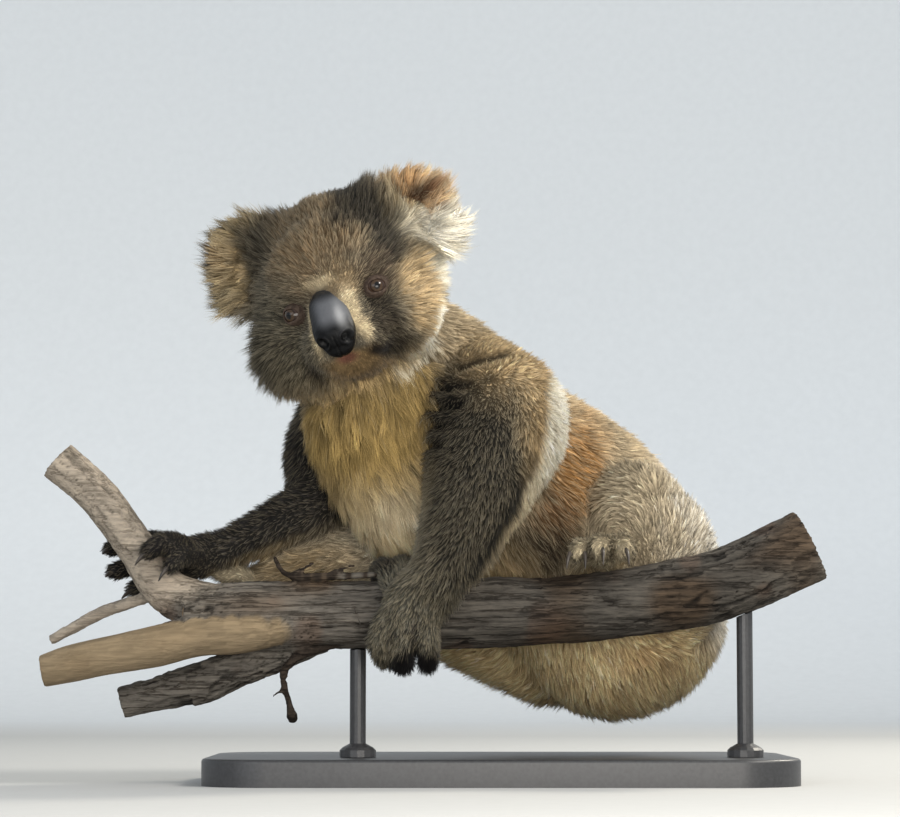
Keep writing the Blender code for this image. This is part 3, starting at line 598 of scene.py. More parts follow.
RUFF_MARKS = (
    (RUFF_LINE, (7, 0.2, -0.4), (0.95, 2.6, 3.4), 0.95, 0.4),
    (RUFF_LINE, (5.9, 0.3, -3.4), (0.95, 2.6, 1.5), 1, 0.3),
    (RUFF_LINE, (4.7, 0, -4.8), (1.1, 2, 0.75), 1, 0.3),
    (RUFF_LINE, (3.5, -0.5, -5.4), (1, 1.8, 0.5), 1, 0.3),
    (RUFF_LINE, (2.2, -0.9, -5.8), (0.9, 1.5, 0.45), 0.8, 0.3),
)
EAR_MARKS = (
    (FLUFF, (7.4, 0.6, 2.2), (2.8, 4, 2.4), 1, 0.4),
    (OLIVE, (5.5, -0.4, 1.3), (1.2, 3, 1.2), 0.85, 0.5),
    (BUFF, (5.4, 0, 5.1), (1.3, 3, 1), 0.8, 0.5),
    (GOLD, (5.2, 1, 6.8), (3.6, 4, 1.4), 1, 0.4),
    (GOLD, (7.9, 0.4, 5), (0.9, 3, 1.4), 0.8, 0.5),
    # painted shadow under the rim of the left ear, below its top tuft
    (EAR_RIM_SHADOW, (7, 0.2, 5.4), (1.6, 3, 0.6), 0.95, 0.5),
    (DARK_ZONE, (-5.5, -0.2, 5), (1.5, 3, 2.6), 0.95, 0.5),
    # painted shade: the right ear's pale lower fringe, in a buff dimmed for the shade it lies in
    (SHADED_EAR_BUFF, (-8, 0.4, 2.5), (1.9, 3, 1.5), 0.9, 0.5),
    (FLUFF, (-7.4, 0.4, 1.2), (2.2, 3, 0.7), 0.5, 0.5),
    # the same buff, dimmed as painted shade, along the right ear's top
    (SHADED_EAR_BUFF, (-7, 0.8, 7.2), (2.2, 3, 0.8), 0.6, 0.5),
    (DARK_ZONE, (-6, -0.2, 2), (1.3, 2.4, 1.6), 0.8, 0.5),
    (GOLD, (-8.8, 0.4, 6.2), (0.8, 3, 1.2), 0.6, 0.6),
)
BODY_MARKS = (
    (PALE_GREY, (15.6, 6, 18), (5.6, 10, 8), 0.9, 0.8),
    # over the rusty flank: painted light in tan at its top, painted shadow in brown lower down, and a dark
    # painted shadow streak at its side
    (FLANK_LIT_TAN, (6.2, -1, 27), (2.4, 5, 3.2), 0.8, 0.6),
    (RUST, (5.4, -2.6, 23.4), (2.6, 5, 4), 0.95, 0.5),
    (FLANK_SHADOW_BROWN, (3.8, -3, 19.8), (2.2, 5, 3), 0.95, 0.6),
    (FLANK_SHADOW_STREAK, (6.9, -3.2, 21.2), (0.7, 3.6, 2.6), 0.6, 0.8),
    (BUFF, (6, 2, 7.6), (14, 9, 5.2), 0.95, 0.35),
    (RUST, (11.6, -0.6, 9.4), (2.6, 3.4, 1.6), 0.5, 0.6),
    (FLANK_SHADE, (2.4, -4, 17.4), (4.6, 4, 2.4), 0.95, 0.6),
    (LEG_BUFF, (-12, -1, 15.2), (7.5, 4.4, 3.2), 0.95, 0.4),
    (CHEST_CREAM, (-9.6, -7, 25.4), (5.8, 7.4, 9), 1, 0.3),
    (BELLY_CREAM, (-8.4, -5.2, 17.6), (4.8, 6, 6), 1, 0.9),
    (ARM_SHADE, (-4.4, -9.6, 28.6), (1.6, 6, 3.4), 0.9, 0.6),
)
# Marks of the left arm: painted light on the shoulder's top and the arm's outer side, painted shade on its
# front
ARM_MARKS = (
    (SUNLIT_BROWN, (2.2, -6, 32.4), (7.4, 9, 5.6), 1, 0.6),
    (SUNLIT_BROWN, (3, -9, 26), (2.2, 4.4, 5.6), 0.9, 0.7),
    (ARM_SHADE, (-5, -9.4, 27), (2.9, 6, 5), 1, 0.7),
)
PAW_MARKS = (
    (SHADED_CHARCOAL, (-8.4, -4.6, 16.2), (2, 2.6, 1.8), 0.9, 0.4),
    (PAD, (-8.6, -6, 16.3), (0.95, 1.6, 0.9), 1, 0.3),
    (PAD, (-6.3, -9.6, 10.8), (0.35, 1.8, 1.8), 0.85, 0.5),
    (PAD, (-8.1, -9.4, 10.4), (0.3, 1.8, 1.4), 0.6, 0.5),
    (PAD, (-6.3, -7.8, 8.7), (2.4, 3.4, 1.7), 1, 0.3),
    (PAD, (6.6, -6.8, 16.9), (0.35, 1.6, 1.2), 0.9, 0.5),
    (PAD, (8.2, -6.8, 17), (0.35, 1.6, 1.2), 0.9, 0.5),
    (PAD, (7.4, -7.2, 16.1), (3.4, 2.2, 0.7), 0.9, 0.4),
    (PAD, (-25.6, -7.6, 16.8), (1.6, 1.6, 1.6), 0.85, 0.5),
    (PAD, (-29, -3, 16.2), (2.4, 2, 3), 0.8, 0.5),
)

# What each part of the body is coloured before its markings; the arms' and the right hand's colours carry
# painted shade
GROUND = {
    "head": CHEEK, "trunk": BACK_BROWN, "left_arm": SHADED_CHARCOAL, "right_arm": SHADED_FAR_ARM,
    "left_leg": GREY_BROWN, "right_leg": GREY_BROWN, "left_hand": HAND_GREY, "right_hand": SHADED_FAR_ARM,
    "left_foot": FOOT_GREY, "right_foot": FOOT_GREY, "left_ear": RUFF_WHITE, "right_ear": EAR_BUFF,
}


def cover_of(points, centre, radii, strength, softness):
    """How much a soft-edged marking covers each point, from 0 to 1."""
    gap = (points - np.array(centre)) / np.array(radii)
    reach = np.linalg.norm(gap, axis=1) + 0.12 * noise(points, 1.1, 5)
    return strength * (1 - smoothstep(1 - softness, 1 + softness * 0.5, reach))


def mix(colours, colour, cover):
    """Lays a colour, or one for each point, over the colours as far as it covers them."""
    cover = cover[:, None]
    return colours * (1 - cover) + colour * cover


def blot(colours, points, marks):
    """Lays markings over the colours."""
    for colour, *shape in marks:
        colours = mix(colours, colour, cover_of(points, *shape))
    return colours


def ruff_line(points):
    """How much each place, in the head's frame, belongs to the white line that ends the ruff."""
    return np.max([cover_of(points, *shape) for _, *shape in RUFF_MARKS], axis=0)


# Folds of the left shoulder's coat: x and z of places along each, in centimetres
CREASES = (
    ((-2.9, 30.5), (-1.7, 31), (0.2, 31.4)), ((-5.6, 31.3), (-4, 31.2)),
    ((-5.6, 29.4), (-4, 29), (-2.2, 29.2)), ((-5.6, 28), (-4.2, 27.6), (-3, 27.7)),
    ((-5.6, 26.7), (-4.2, 26.2)), ((-5.6, 25.2), (-4.4, 24.8)),
)


def creases_at(points, width):
    """How deep in a fold of the left shoulder's coat each point lies, from 0 to 1."""
    place = points[:, (0, 2)]
    near = np.full(len(points), np.inf)
    for line in CREASES:
        for start, end in zip(line, line[1:]):
            start, span = np.array(start), np.array(end) - np.array(start)
            part = np.clip((place - start) @ span / (span @ span), 0, 1)
            near = np.minimum(near, np.linalg.norm(place - start - part[:, None] * span, axis=1))
    return np.exp(-((near / width) ** 2)) * smoothstep(-4.0, -6.5, points[:, 1])


def in_head(points):
    return (points - np.array(HEAD_CENTRE)) @ HEAD_AXES


def coat_colour(points, normals, share, along):
    """The ground colour of skin and coat at points in centimetres."""
    colours = sum(share[name][:, None] * colour for name, colour in GROUND.items())
    torso = share["trunk"] + share["left_leg"] + share["right_leg"]
    cover = np.clip(torso + 0.35 * share["left_arm"], 0, 1)
    colours = mix(colours, blot(colours, points, BODY_MARKS), cover)
    # painted shade darkens the left sleeve in its folds, and painted light makes it paler just under them
    fold_shade = 1 - 0.9 * creases_at(points - 0.15 * UP, 0.42)
    lit_below_fold = 1 + 0.5 * creases_at(points + 0.6 * UP, 0.3)
    sleeve = blot(colours, points, ARM_MARKS) * (fold_shade * lit_below_fold)[:, None]
    colours = mix(colours, sleeve, share["left_arm"])
    colours = mix(colours, blot(colours, points, PAW_MARKS), sum(share[name] for name in DIGITS))
    local = in_head(points)
    colours = mix(colours, blot(colours, local, HEAD_MARKS), share["head"])
    # ears: dark towards the head in front, brown behind
    ears = share["left_ear"] + share["right_ear"]
    colours = mix(colours, blot(colours, local, EAR_MARKS), ears)
    inner = smoothstep(-0.5, 0.9, 5.6 - np.abs(local[:, 0]) + 0.2 * (local[:, 2] - 4))
    inner *= smoothstep(6.8, 5.6, local[:, 2])
    colours = mix(colours, DARK_ZONE, share["left_ear"] * inner * 0.9)
    behind = smoothstep(-0.2, 0.6, (normals @ HEAD_AXES)[:, 1])
    colours = mix(colours, GREY_BROWN, ears * behind * 0.7)
    # the white line of the ruff down the cheek and under the jaw
    colours = mix(colours, blot(colours, local, RUFF_MARKS), share["head"] + 0.8 * share["trunk"])
    # a white fringe along the left arm's rear edge, creamy lower down
    edge = smoothstep(0.70, 0.84, normals[:, 0]) * smoothstep(0.4, 0.05, normals[:, 1])
    edge *= smoothstep(32, 29.5, points[:, 2])
    fringe = share["left_arm"] * edge * (1 - smoothstep(0.8, 0.97, along["left_arm"]))
    colours = mix(colours, mix(FRINGE, CREAM, smoothstep(27, 19, points[:, 2])), fringe)
    # the underside of the arms and body is paler
    under = smoothstep(0.35, 0.9, -normals[:, 2]) * (torso + 0.4 * share["right_arm"])
    colours = mix(colours, BUFF, under)
    # mottled where the short fur parts over its darker base
    mottle = 0.12 + 0.2 * (share["left_arm"] + share["head"] + share["left_hand"]) + 0.1 * share["left_leg"]
    patch = 0.12 * noise(points, 2.6, 11) + 0.22 * share["trunk"] * noise(points, 1.1, 14)
    cheek = cover_of(local, (4.2, -4.2, -2.4), (2.4, 3.2, 2.8), 1.0, 0.5) * share["head"]
    patch += 0.35 * cheek * noise(points, 0.42, 15)
    patch += mottle * (noise(points, 0.55, 12) + 0.6 * noise(points, 0.26, 13))
    return np.clip(colours * np.exp(patch)[:, None], 0, 1)


# ---------------------------------------------------------------- coat

REGIONS = {
    "coat_head": ("head",),
    "coat_ears": ("left_ear", "right_ear"),
    "coat_bib": (),
    "coat_trunk": ("trunk",),
    "coat_left_arm": ("left_arm",),
    "coat_right_arm": ("right_arm",),
    "coat_legs": ("left_leg", "right_leg"),
    "coat_paws": ("left_hand", "right_hand", "left_foot", "right_foot"),
}
CURVED = ("coat_ears", "coat_bib")
EARS = ((1, "left_ear"), (-1, "right_ear"))
# In the head's own frame: the hair lies away from the one place, and grows longer away from the other
NOSE_MIDDLE = (0, -7.6, -2.2)
NOSE_BRIDGE = (0, -7.2, -1.6)
# Centre and radii of the bib, in centimetres
BIB = ((-8.8, -6.6, 23), (6, 6.4, 11))
# Length in centimetres, lift from 0 to 1, width in millimetres, strands for each square centimetre, the
# spacing of the tufts in centimetres and the share of strands with pale tips
HAIR = {
    "head": (0.72, 0.52, 0.42, 195, 0.19, 0.34),
    "trunk": (1.05, 0.52, 0.52, 112, 0.23, 0.28),
    "left_arm": (0.76, 0.62, 0.46, 165, 0.19, 0.48),
    "right_arm": (0.82, 0.58, 0.5, 110, 0.22, 0.3),
    "left_leg": (0.86, 0.6, 0.5, 140, 0.21, 0.36),
    "right_leg": (1.05, 0.5, 0.56, 84, 0.25, 0.22),
    "left_hand": (0.5, 0.4, 0.42, 210, 0.18, 0.45),
    "right_hand": (0.45, 0.4, 0.42, 160, 0.18, 0.3),
    "left_foot": (0.6, 0.35, 0.42, 170, 0.18, 0.4),
    "right_foot": (0.5, 0.35, 0.45, 90, 0.2, 0.3),
    "left_ear": (2.0, 0.55, 0.42, 250, 0.3, 0.25),
    "right_ear": (1.9, 0.55, 0.42, 250, 0.3, 0.42),
}


def lie_of_coat(points, normals, share, way):
    """The way the hair lies: down each limb, back over the body, and away from the nose over the head."""
    limbs = [name for name in share if name not in ("head", "left_ear", "right_ear")]
    flow = sum(share[name][:, None] * way[name] for name in limbs)
    flow[:, 2] -= 0.35 * share["trunk"]
    local = in_head(points)
    radial = unit(local - np.array(NOSE_MIDDLE))
    radial[:, 2] -= 0.5 * smoothstep(1, -4, local[:, 2])
    flow += share["head"][:, None] * (radial @ HEAD_AXES.T)
    for side, name in EARS:
        out = local - np.array(EAR_CENTRES[side]) + np.array((side * 1.6, 0, 0.6))
        out[:, 1] = -0.2
        flow += share[name][:, None] * (unit(out) @ HEAD_AXES.T)
    flow -= np.sum(flow * normals, axis=1)[:, None] * normals
    return unit(flow)


def coat_at(points, normals, share, along):
    """The hair at points in centimetres, as numbers in the order of the table above."""
    means = (sum(share[name] * row[i] for name, row in HAIR.items()) for i in range(6))
    length, lift, width, density, spacing, ticked = means
    local = in_head(points)
    # short at the muzzle, longer over the cheeks and crown
    short = share["head"] * (1 - outside(local, NOSE_BRIDGE, 1, 1.4, 7))
    length *= 1 - 0.72 * short
    width *= 1 - 0.35 * short
    density *= 1 + 1.1 * short
    spacing *= 1 - 0.4 * short
    ruff = share["head"] * smoothstep(4.8, 6.8, np.abs(local[:, 0])) * smoothstep(4.4, 1.6, local[:, 2])
    length += 0.9 * ruff
    line = ruff_line(local) * (share["head"] + share["trunk"])
    ticked *= 1 - line
    length *= 1 - 0.2 * line * smoothstep(-2.0, -3.6, local[:, 2])
    # short inside the cup of each ear, longest below
    for side, name in EARS:
        cup = 1 - outside(local, EAR_CENTRES[side], (EAR_WIDTH, 3, EAR_HEIGHT[side]), 0.35, 0.85)
        length -= 0.9 * share[name] * cup
    length += (0.9 * share["right_ear"] + 0.7 * share["left_ear"]) * smoothstep(3.6, 1.8, local[:, 2])
    # tufts that fill the corner between crown and ear
    for side in (-1, 1):
        tuft = share["head"] * (1 - outside(local, (side * 4.5, 0.6, 5.6), 1, 1.8, 3.4))
        length += 1.3 * tuft
        lift += 0.35 * tuft
    # long locks on the chest
    bib = share["trunk"] * bib_at(points)
    length += 1.5 * bib
    lift -= 0.2 * bib
    spacing += 0.22 * bib
    width -= 0.06 * bib
    density *= 1 + 0.3 * bib
    ticked *= 1 - bib
    fringe = share["left_arm"] * smoothstep(0.5, 0.7, normals[:, 0])
    fringe = fringe * (1 - smoothstep(0.8, 0.97, along["left_arm"]))
    length += 0.3 * fringe
    ticked *= 1 - fringe
    # bare places: eyes, nose, mouth, pads
    bare = np.ones(len(points))
    for side in (-1, 1):
        gap = local - np.array((side * EYE_SPACING, EYE_FORWARD - 0.4, EYE_HEIGHT))
        bare *= smoothstep(0.86, 1.02, np.linalg.norm(gap * np.array((0.9, 0.8, 1.12)), axis=1))
    for x, y, z, radius in smooth_curve(NOSE, 3):
        bare *= outside(local, (x, y, z), radius, 0.93, 1.02)
    # the lips have only a short down, and black hair fills out the pads under the fingers
    for place, centre, radii, change in (
        (local, (-0.2, -6.7, -4.6), (1.3, 1.2, 0.6), -0.6),
        (local, (0.6, -5.6, -4.6), (2.6, 2.6, 1.6), -0.35),
        (points, (-6.3, -7.8, 8.7), (2.4, 3.4, 1.7), 0.5),
    ):
        near = 1 - outside(place, centre, radii, 0.7, 1.15)
        length *= 1 + change * near
        ticked *= 1 - near
    # hair just above a fold of the shoulder stops short of it
    above = share["left_arm"] * creases_at(points - 0.3 * UP, 0.45)
    length *= 1 - 0.65 * above
    ticked *= 1 - 0.7 * above
    return length, lift, width, density * bare, spacing, ticked


def bib_at(points):
    """How much a place belongs to the long-haired bib of the chest and belly, from 0 to 1."""
    return 1 - outside(points, *BIB, 0.75, 1.15)


def grow_coat(mesh, share, flow, points, normals, colours, coat, rng):
    """Roots spread over the skin, with everything the strands need read there."""
    length, lift, width, density, spacing, ticked = coat
    mesh.calc_loop_triangles()
    corners = numbers_of(mesh.loop_triangles, "vertices", 3, np.int32)
    a, b, c = (points[corners[:, i]] for i in range(3))
    area = 0.5 * np.linalg.norm(np.cross(b - a, c - a), axis=1)
    expected = area * density[corners].mean(axis=1)
    thinning = COAT_STRANDS * 1 / expected.sum()
    expected *= thinning
    count = np.floor(expected + rng.random(len(expected))).astype(int)
    face = np.repeat(np.arange(len(corners)), count)
    u, v = rng.random((2, len(face)))
    flip = u + v > 1
    u[flip], v[flip] = 1 - u[flip], 1 - v[flip]
    blend = np.stack((1 - u - v, u, v), axis=1)

    def at(values, rows=corners):
        picked = values[rows[face]]
        return np.sum(picked * (blend if picked.ndim == 2 else blend[:, :, None]), axis=1)

    corner_loops = numbers_of(mesh.loop_triangles, "loops", 3, np.int32)
    return {
        "root": at(points),
        "normal": unit(at(normals)),
        "flow": unit(at(flow)),
        "length": at(length),
        "lift": at(lift),
        "width": at(width),
        "colour": at(colours),
        "ticked": at(ticked),
        "leads": 1 / (at(density) * thinning * at(spacing) ** 2 + 1),
        "owner": np.argmax(np.stack(list(share.values())), axis=0)[corners[face, 0]],
        "map_place": at(numbers_of(mesh.uv_layers["OFBake"].uv, "vector", 2), corner_loops),
    }


def nearest_leaders(root, picked):
    """The nearest of the picked roots to each root."""
    tree = KDTree(len(picked))
    for i, index in enumerate(picked):
        tree.insert(root[index], i)
    tree.balance()
    return picked[np.array([tree.find(place)[1] for place in root])]


def shape_strands(grown, rng):
    """Gives each strand its middle and tip, lifted off the skin, laid over and leant to its tuft's leader."""
    root, normal, flow = grown["root"], grown["normal"], grown["flow"]
    count = len(root)
    size = grown["length"] * (0.72 + 0.5 * rng.random(count)) * (1 + 0.16 * noise(root, 1.6, 21))
    size *= 1 + 0.2 * (grown["pale"] > 0)
    stray = rng.normal(size=(count, 3))
    side = np.cross(normal, flow)
    sway = noise(root, 1.9, 22)[:, None] * 0.35 + noise(root, 0.6, 23)[:, None] * 0.3
    lean = unit(flow + side * sway + 0.2 * stray)
    lift = np.clip(grown["lift"] * (1 + 0.35 * noise(root, 1.2, 24)), 0.15, 0.95)[:, None]
    first = unit(lean * (1 - lift) + normal * (lift + 0.15))
    last = unit(lean * (1.25 - lift) + normal * lift * 0.55 - 0.12 * UP)
    middle = root + first * size[:, None] * 0.5
    tip = middle + last * size[:, None] * 0.55
    leader = nearest_leaders(root, np.flatnonzero(rng.random(count) < grown["leads"]))
    pull = (0.45 + 0.35 * rng.random(count))[:, None]
    grown["tip"] = tip + (tip[leader] - tip) * pull
    grown["middle"] = middle + (middle[leader] - middle) * pull * 0.35
    return leader


def build_strands(name, strands, segments, finish):
    """Joined three-sided spikes, one to a strand, each with its colours, soft normals and map place."""
    root, normal, tip = strands["root"], strands["normal"], strands["tip"]
    spread, pale, dark = strands["spread"], strands["pale"], strands["dark"][:, None]
    width = strands["width"] * 0.1 * (0.75 + 0.5 * spread) * (1 + 0.5 * (pale > 0))
    way = unit(tip - root)
    across = unit(np.cross(way, normal) + 1e-6)
    over = np.cross(way, across)
    contrast = 0.35 + 1.2 * np.clip(strands["ticked"], 0, 1)
    shade = np.exp(contrast * (spread - 0.5) + (0.12 + 0.3 * contrast) * strands["lock"])
    base = strands["colour"] * shade[:, None]
    levels = [(root - normal * 0.04, 0.5, dark)]
    if segments == 2:
        levels.append((strands["middle"], 0.42, 0.5 + 0.5 * dark))
    corners, soft, tints = [], [], []
    for centre, share, tone in levels:
        for corner in range(3):
            angle = spread * math.tau + corner * math.tau / 3
            out = across * np.cos(angle)[:, None] + over * np.sin(angle)[:, None]
            corners.append(centre + out * (width * share)[:, None])
            soft.append(unit(normal * 0.85 + out * 0.5))
            tints.append(base * tone)
    corners.append(tip)
    soft.append(unit(normal * 0.8 + way * 0.35))
    tints.append(np.clip(mix(base * strands["bright"][:, None], TICK, pale), 0, 1))
    size = len(corners)
    pattern = []
    for low in range(0, size - 4, 3):
        for corner in range(3):
            there = (corner + 1) % 3
            pattern.append((low + corner, low + there, low + 3 + there))
            pattern.append((low + corner, low + 3 + there, low + 3 + corner))
    for corner in range(3):
        pattern.append((size - 4 + corner, size - 4 + (corner + 1) % 3, size - 1))
    faces = (np.arange(len(root))[:, None, None] * size + np.array(pattern)[None]).reshape(-1, 3)
    mesh = bpy.data.meshes.new(name)
    mesh.vertices.add(len(root) * size)
    mesh.vertices.foreach_set("co", (rows_of(corners) * CM).astype(np.float32).ravel())
    mesh.loops.add(len(faces) * 3)
    mesh.loops.foreach_set("vertex_index", faces.astype(np.int32).ravel())
    mesh.polygons.add(len(faces))
    mesh.polygons.foreach_set("loop_start", np.arange(0, len(faces) * 3, 3, dtype=np.int32))
    mesh.update(calc_edges=True)
    obj = add_mesh(name, mesh, finish)
    paint_points(mesh, rows_of(tints))
    smooth = mesh.attributes.new("custom_normal", "FLOAT_VECTOR", "POINT")
    smooth.data.foreach_set("vector", rows_of(soft).astype(np.float32).ravel())
    # each strand's patch of the map lies at its root
    around = np.arange(size) * math.tau / size
    patch = PATCH_RADIUS * np.stack((np.cos(around), np.sin(around)), axis=1)
    spot = strands["map_place"][:, None, :] + patch[None]
    corner_places = np.clip(spot.reshape(-1, 2)[faces.ravel()], 0, 1)
    mesh.uv_layers.new(name="OFBake").uv.foreach_set("vector", corner_places.astype(np.float32).ravel())
    return obj


def rows_of(columns):
    """The points of each strand in turn, from lists of the same point of every strand."""
    return np.stack(columns, axis=1).reshape(-1, 3)


def unwrap(skin):
    """A map of the skin's own shape, parted where it turns."""
    bpy.ops.object.select_all(action="DESELECT")
    skin.select_set(True)
    bpy.context.view_layer.objects.active = skin
    skin.data.uv_layers.new(name="OFBake")
    bpy.ops.object.mode_set(mode="EDIT")
    bpy.ops.mesh.select_all(action="SELECT")
    bpy.ops.uv.smart_project(angle_limit=math.radians(70), island_margin=0.002)
    bpy.ops.object.mode_set(mode="OBJECT")


def build_coat(skin, finish):
    """Colours the skin and grows the coat on it, as pieces of joined strands."""
    rng = np.random.default_rng(COAT_SEED)
    mesh = skin.data
    points, normals = points_of(mesh) / CM, normals_of(mesh)
    edges = numbers_of(mesh.edges, "vertices", 2, np.int32)
    soft_normals = unit(relax(normals, edges, 6))
    share, way, along = parts_at(points)
    flow = relax(lie_of_coat(points, soft_normals, share, way), edges, 12)
    flow = unit(flow - np.sum(flow * normals, axis=1)[:, None] * normals)
    colours = coat_colour(points, soft_normals, share, along)
    paint_points(mesh, colours * 0.7)
    coat = coat_at(points, soft_normals, share, along)
    grown = grow_coat(mesh, share, flow, points, soft_normals, colours, coat, rng)
    count = len(grown["root"])
    names = list(share)
    # pale tips, fainter where the coat is dark
    grown["pale"] = np.where(rng.random(count) < grown["ticked"], 0.25 + 0.45 * rng.random(count), 0.0)
    floor = np.where(grown["owner"] == names.index("head"), 0.3, 0.55)
    grown["pale"] *= floor + (1 - floor) * smoothstep(0.008, 0.07, grown["colour"][:, 1])
    leader = shape_strands(grown, rng)
    grown["spread"] = rng.random(count)
    grown["lock"] = rng.normal(size=count)[leader]
    grown["dark"] = 0.4 + 0.25 * rng.random(count)
    grown["bright"] = 1.0 + 0.7 * rng.random(count) ** 2
    pieces = []
    bib = (bib_at(grown["root"]) > 0.5) & (grown["owner"] == names.index("trunk"))
    for piece, owners in REGIONS.items():
        of_piece = np.isin(grown["owner"], [names.index(n) for n in owners]) & ~bib
        pick = np.flatnonzero(bib if piece == "coat_bib" else of_piece)
        rng.shuffle(pick)
        segments = 2 if piece in CURVED else 1
        parts = max(1, math.ceil(len(pick) * (6 * segments - 3) / PIECE_TRIANGLES))
        for i, chunk in enumerate(np.array_split(pick, parts)):
            strands = {key: values[np.sort(chunk)] for key, values in grown.items()}
            label = piece if parts == 1 else f"{piece}_{i + 1}"
            pieces.append(build_strands(label, strands, segments, finish))
    return pieces


# ---------------------------------------------------------------- materials


class Shader:
    """A material's nodes, made one at a time."""

    def __init__(self, name):
        self.material = bpy.data.materials.new(name)
        self.material.use_nodes = True
        self.tree = self.material.node_tree
        self.main = self.tree.nodes["Principled BSDF"]

    def node(self, kind, **settings):
        made = self.tree.nodes.new(kind)
        for key, value in settings.items():
            setattr(made, key, value)
        return made

    def link(self, start, end):
        self.tree.links.new(start, end)

    def attribute(self, name, output="Color"):
        return self.node("ShaderNodeAttribute", attribute_name=name).outputs[output]

    def set(self, **values):
        for key, value in values.items():
            self.main.inputs[key.replace("_", " ")].default_value = value

    def coordinates(self):
        return self.node("ShaderNodeTexCoord").outputs["Object"]

    def noise(self, scale, detail, stretch=None, rough=0.5):
        texture = self.node("ShaderNodeTexNoise")
        texture.inputs["Scale"].default_value = scale
        texture.inputs["Detail"].default_value = detail
        texture.inputs["Roughness"].default_value = rough
        place = self.coordinates()
        if stretch:
            mapping = self.node("ShaderNodeMapping")
            mapping.inputs["Scale"].default_value = stretch
            self.link(place, mapping.inputs["Vector"])
            place = mapping.outputs["Vector"]
        self.link(place, texture.inputs["Vector"])
        return texture.outputs["Fac"]

    def ramp(self, value, *stops):
        made = self.node("ShaderNodeValToRGB")
        ramp = made.color_ramp
        while len(ramp.elements) < len(stops):
            ramp.elements.new(0.5)
        for element, (place, colour) in zip(ramp.elements, stops):
            element.position = place
            element.color = (*colour, 1)
        self.link(value, made.inputs["Fac"])
        return made.outputs["Color"]

    def multiply(self, first, second, share=1.0):
        made = self.node("ShaderNodeMix", data_type="RGBA", blend_type="MULTIPLY")
        if isinstance(share, float):
            made.inputs["Factor"].default_value = share
        else:
            self.link(share, made.inputs["Factor"])
        self.link(first, made.inputs["A"])
        self.link(second, made.inputs["B"])
        return made.outputs["Result"]

    def bump(self, height, strength, distance):
        made = self.node("ShaderNodeBump")
        made.inputs["Strength"].default_value = strength
        made.inputs["Distance"].default_value = distance
        self.link(height, made.inputs["Height"])
        self.link(made.outputs["Normal"], self.main.inputs["Normal"])


def fur_material(name, bumpy):
    shader = Shader(name)
    speckle = shader.ramp(shader.noise(900, 2), (0.3, (0.72, 0.72, 0.72)), (0.7, (1.0, 1.0, 1.0)))
    shader.link(shader.multiply(shader.attribute("tint"), speckle), shader.main.inputs["Base Color"])
    shader.set(Roughness=0.75, Specular_IOR_Level=0.12, Sheen_Weight=0.03, Sheen_Roughness=0.4)
    if bumpy:
        shader.bump(shader.noise(700, 5), 0.6, 0.0012)
    return shader.material


def bark_material():
    """Bark with fine grain and thin crooked cracks along the limbs, fading out where the wood is bare."""
    shader = Shader("bark")
    grain = shader.noise(330, 8, (0.1, 1, 1), 0.72)
    dark, middle, light = (0.34, 0.33, 0.31), (0.92, 0.91, 0.9), (1.35, 1.32, 1.27)
    fibres = shader.ramp(grain, (0.36, dark), (0.5, middle), (0.66, light))
    whole, crack = (1, 1, 1), (0.34, 0.32, 0.3)
    split = shader.noise(95, 9, (0.055, 1, 1), 0.6)
    cracks = shader.ramp(split, (0.46, whole), (0.487, crack), (0.498, crack), (0.52, whole))
    marks = shader.multiply(fibres, cracks)
    bark = shader.multiply(shader.attribute("tint"), marks, shader.attribute("rough", "Fac"))
    shader.link(bark, shader.main.inputs["Base Color"])
    shader.set(Roughness=0.9, Specular_IOR_Level=0.15)
    shader.bump(marks, 0.6, 0.001)
    return shader.material


def nose_material():
    """Leather with fine pebbles."""
    shader = Shader("nose_leather")
    pebbles = shader.node("ShaderNodeTexVoronoi", feature="DISTANCE_TO_EDGE")
    pebbles.inputs["Scale"].default_value = 900
    shader.link(shader.coordinates(), pebbles.inputs["Vector"])
    shader.link(shader.attribute("tint"), shader.main.inputs["Base Color"])
    shader.set(Roughness=0.4, Specular_IOR_Level=0.13)
    shader.bump(pebbles.outputs["Distance"], 0.35, 0.0004)
    return shader.material


# Materials of two shades: the grain's scale, detail and stretch, the dark and the light shade, roughness and
# shine, and the grain's strength and depth in metres as a bump
GRAINED = {
    "claw_horn": (
        (240, 4, (1, 1, 0.3)), (0.018, 0.015, 0.013), (0.07, 0.058, 0.048), 0.42, 0.3, 0.15, 0.0003,
    ),
    "stand_paint": ((420, 3), (0.02, 0.02, 0.021), (0.032, 0.032, 0.034), 0.42, 0.5, 0.08, 0.0002),
    "lid_skin": ((500, 4), (0.03, 0.021, 0.016), (0.085, 0.06, 0.046), 0.7, 0.08, 0.3, 0.0004),
}


def grained_material(name):
    texture, dark, light, roughness, shine, strength, depth = GRAINED[name]
    shader = Shader(name)
    grain = shader.noise(*texture)
    shader.link(shader.ramp(grain, (0.3, dark), (0.7, light)), shader.main.inputs["Base Color"])
    shader.set(Roughness=roughness, Specular_IOR_Level=shine)
    shader.bump(grain, strength, depth)
    return shader.material


def eye_material():
    """A wet, clear surface over the colours of the eyeball."""
    shader = Shader("eye_surface")
    shader.link(shader.attribute("tint"), shader.main.inputs["Base Color"])
    shader.set(Roughness=0.3, Specular_IOR_Level=0.0, Coat_Weight=1.0, Coat_Roughness=0.02, Coat_IOR=1.36)
    return shader.material


# ---------------------------------------------------------------- eyes, nose and claws

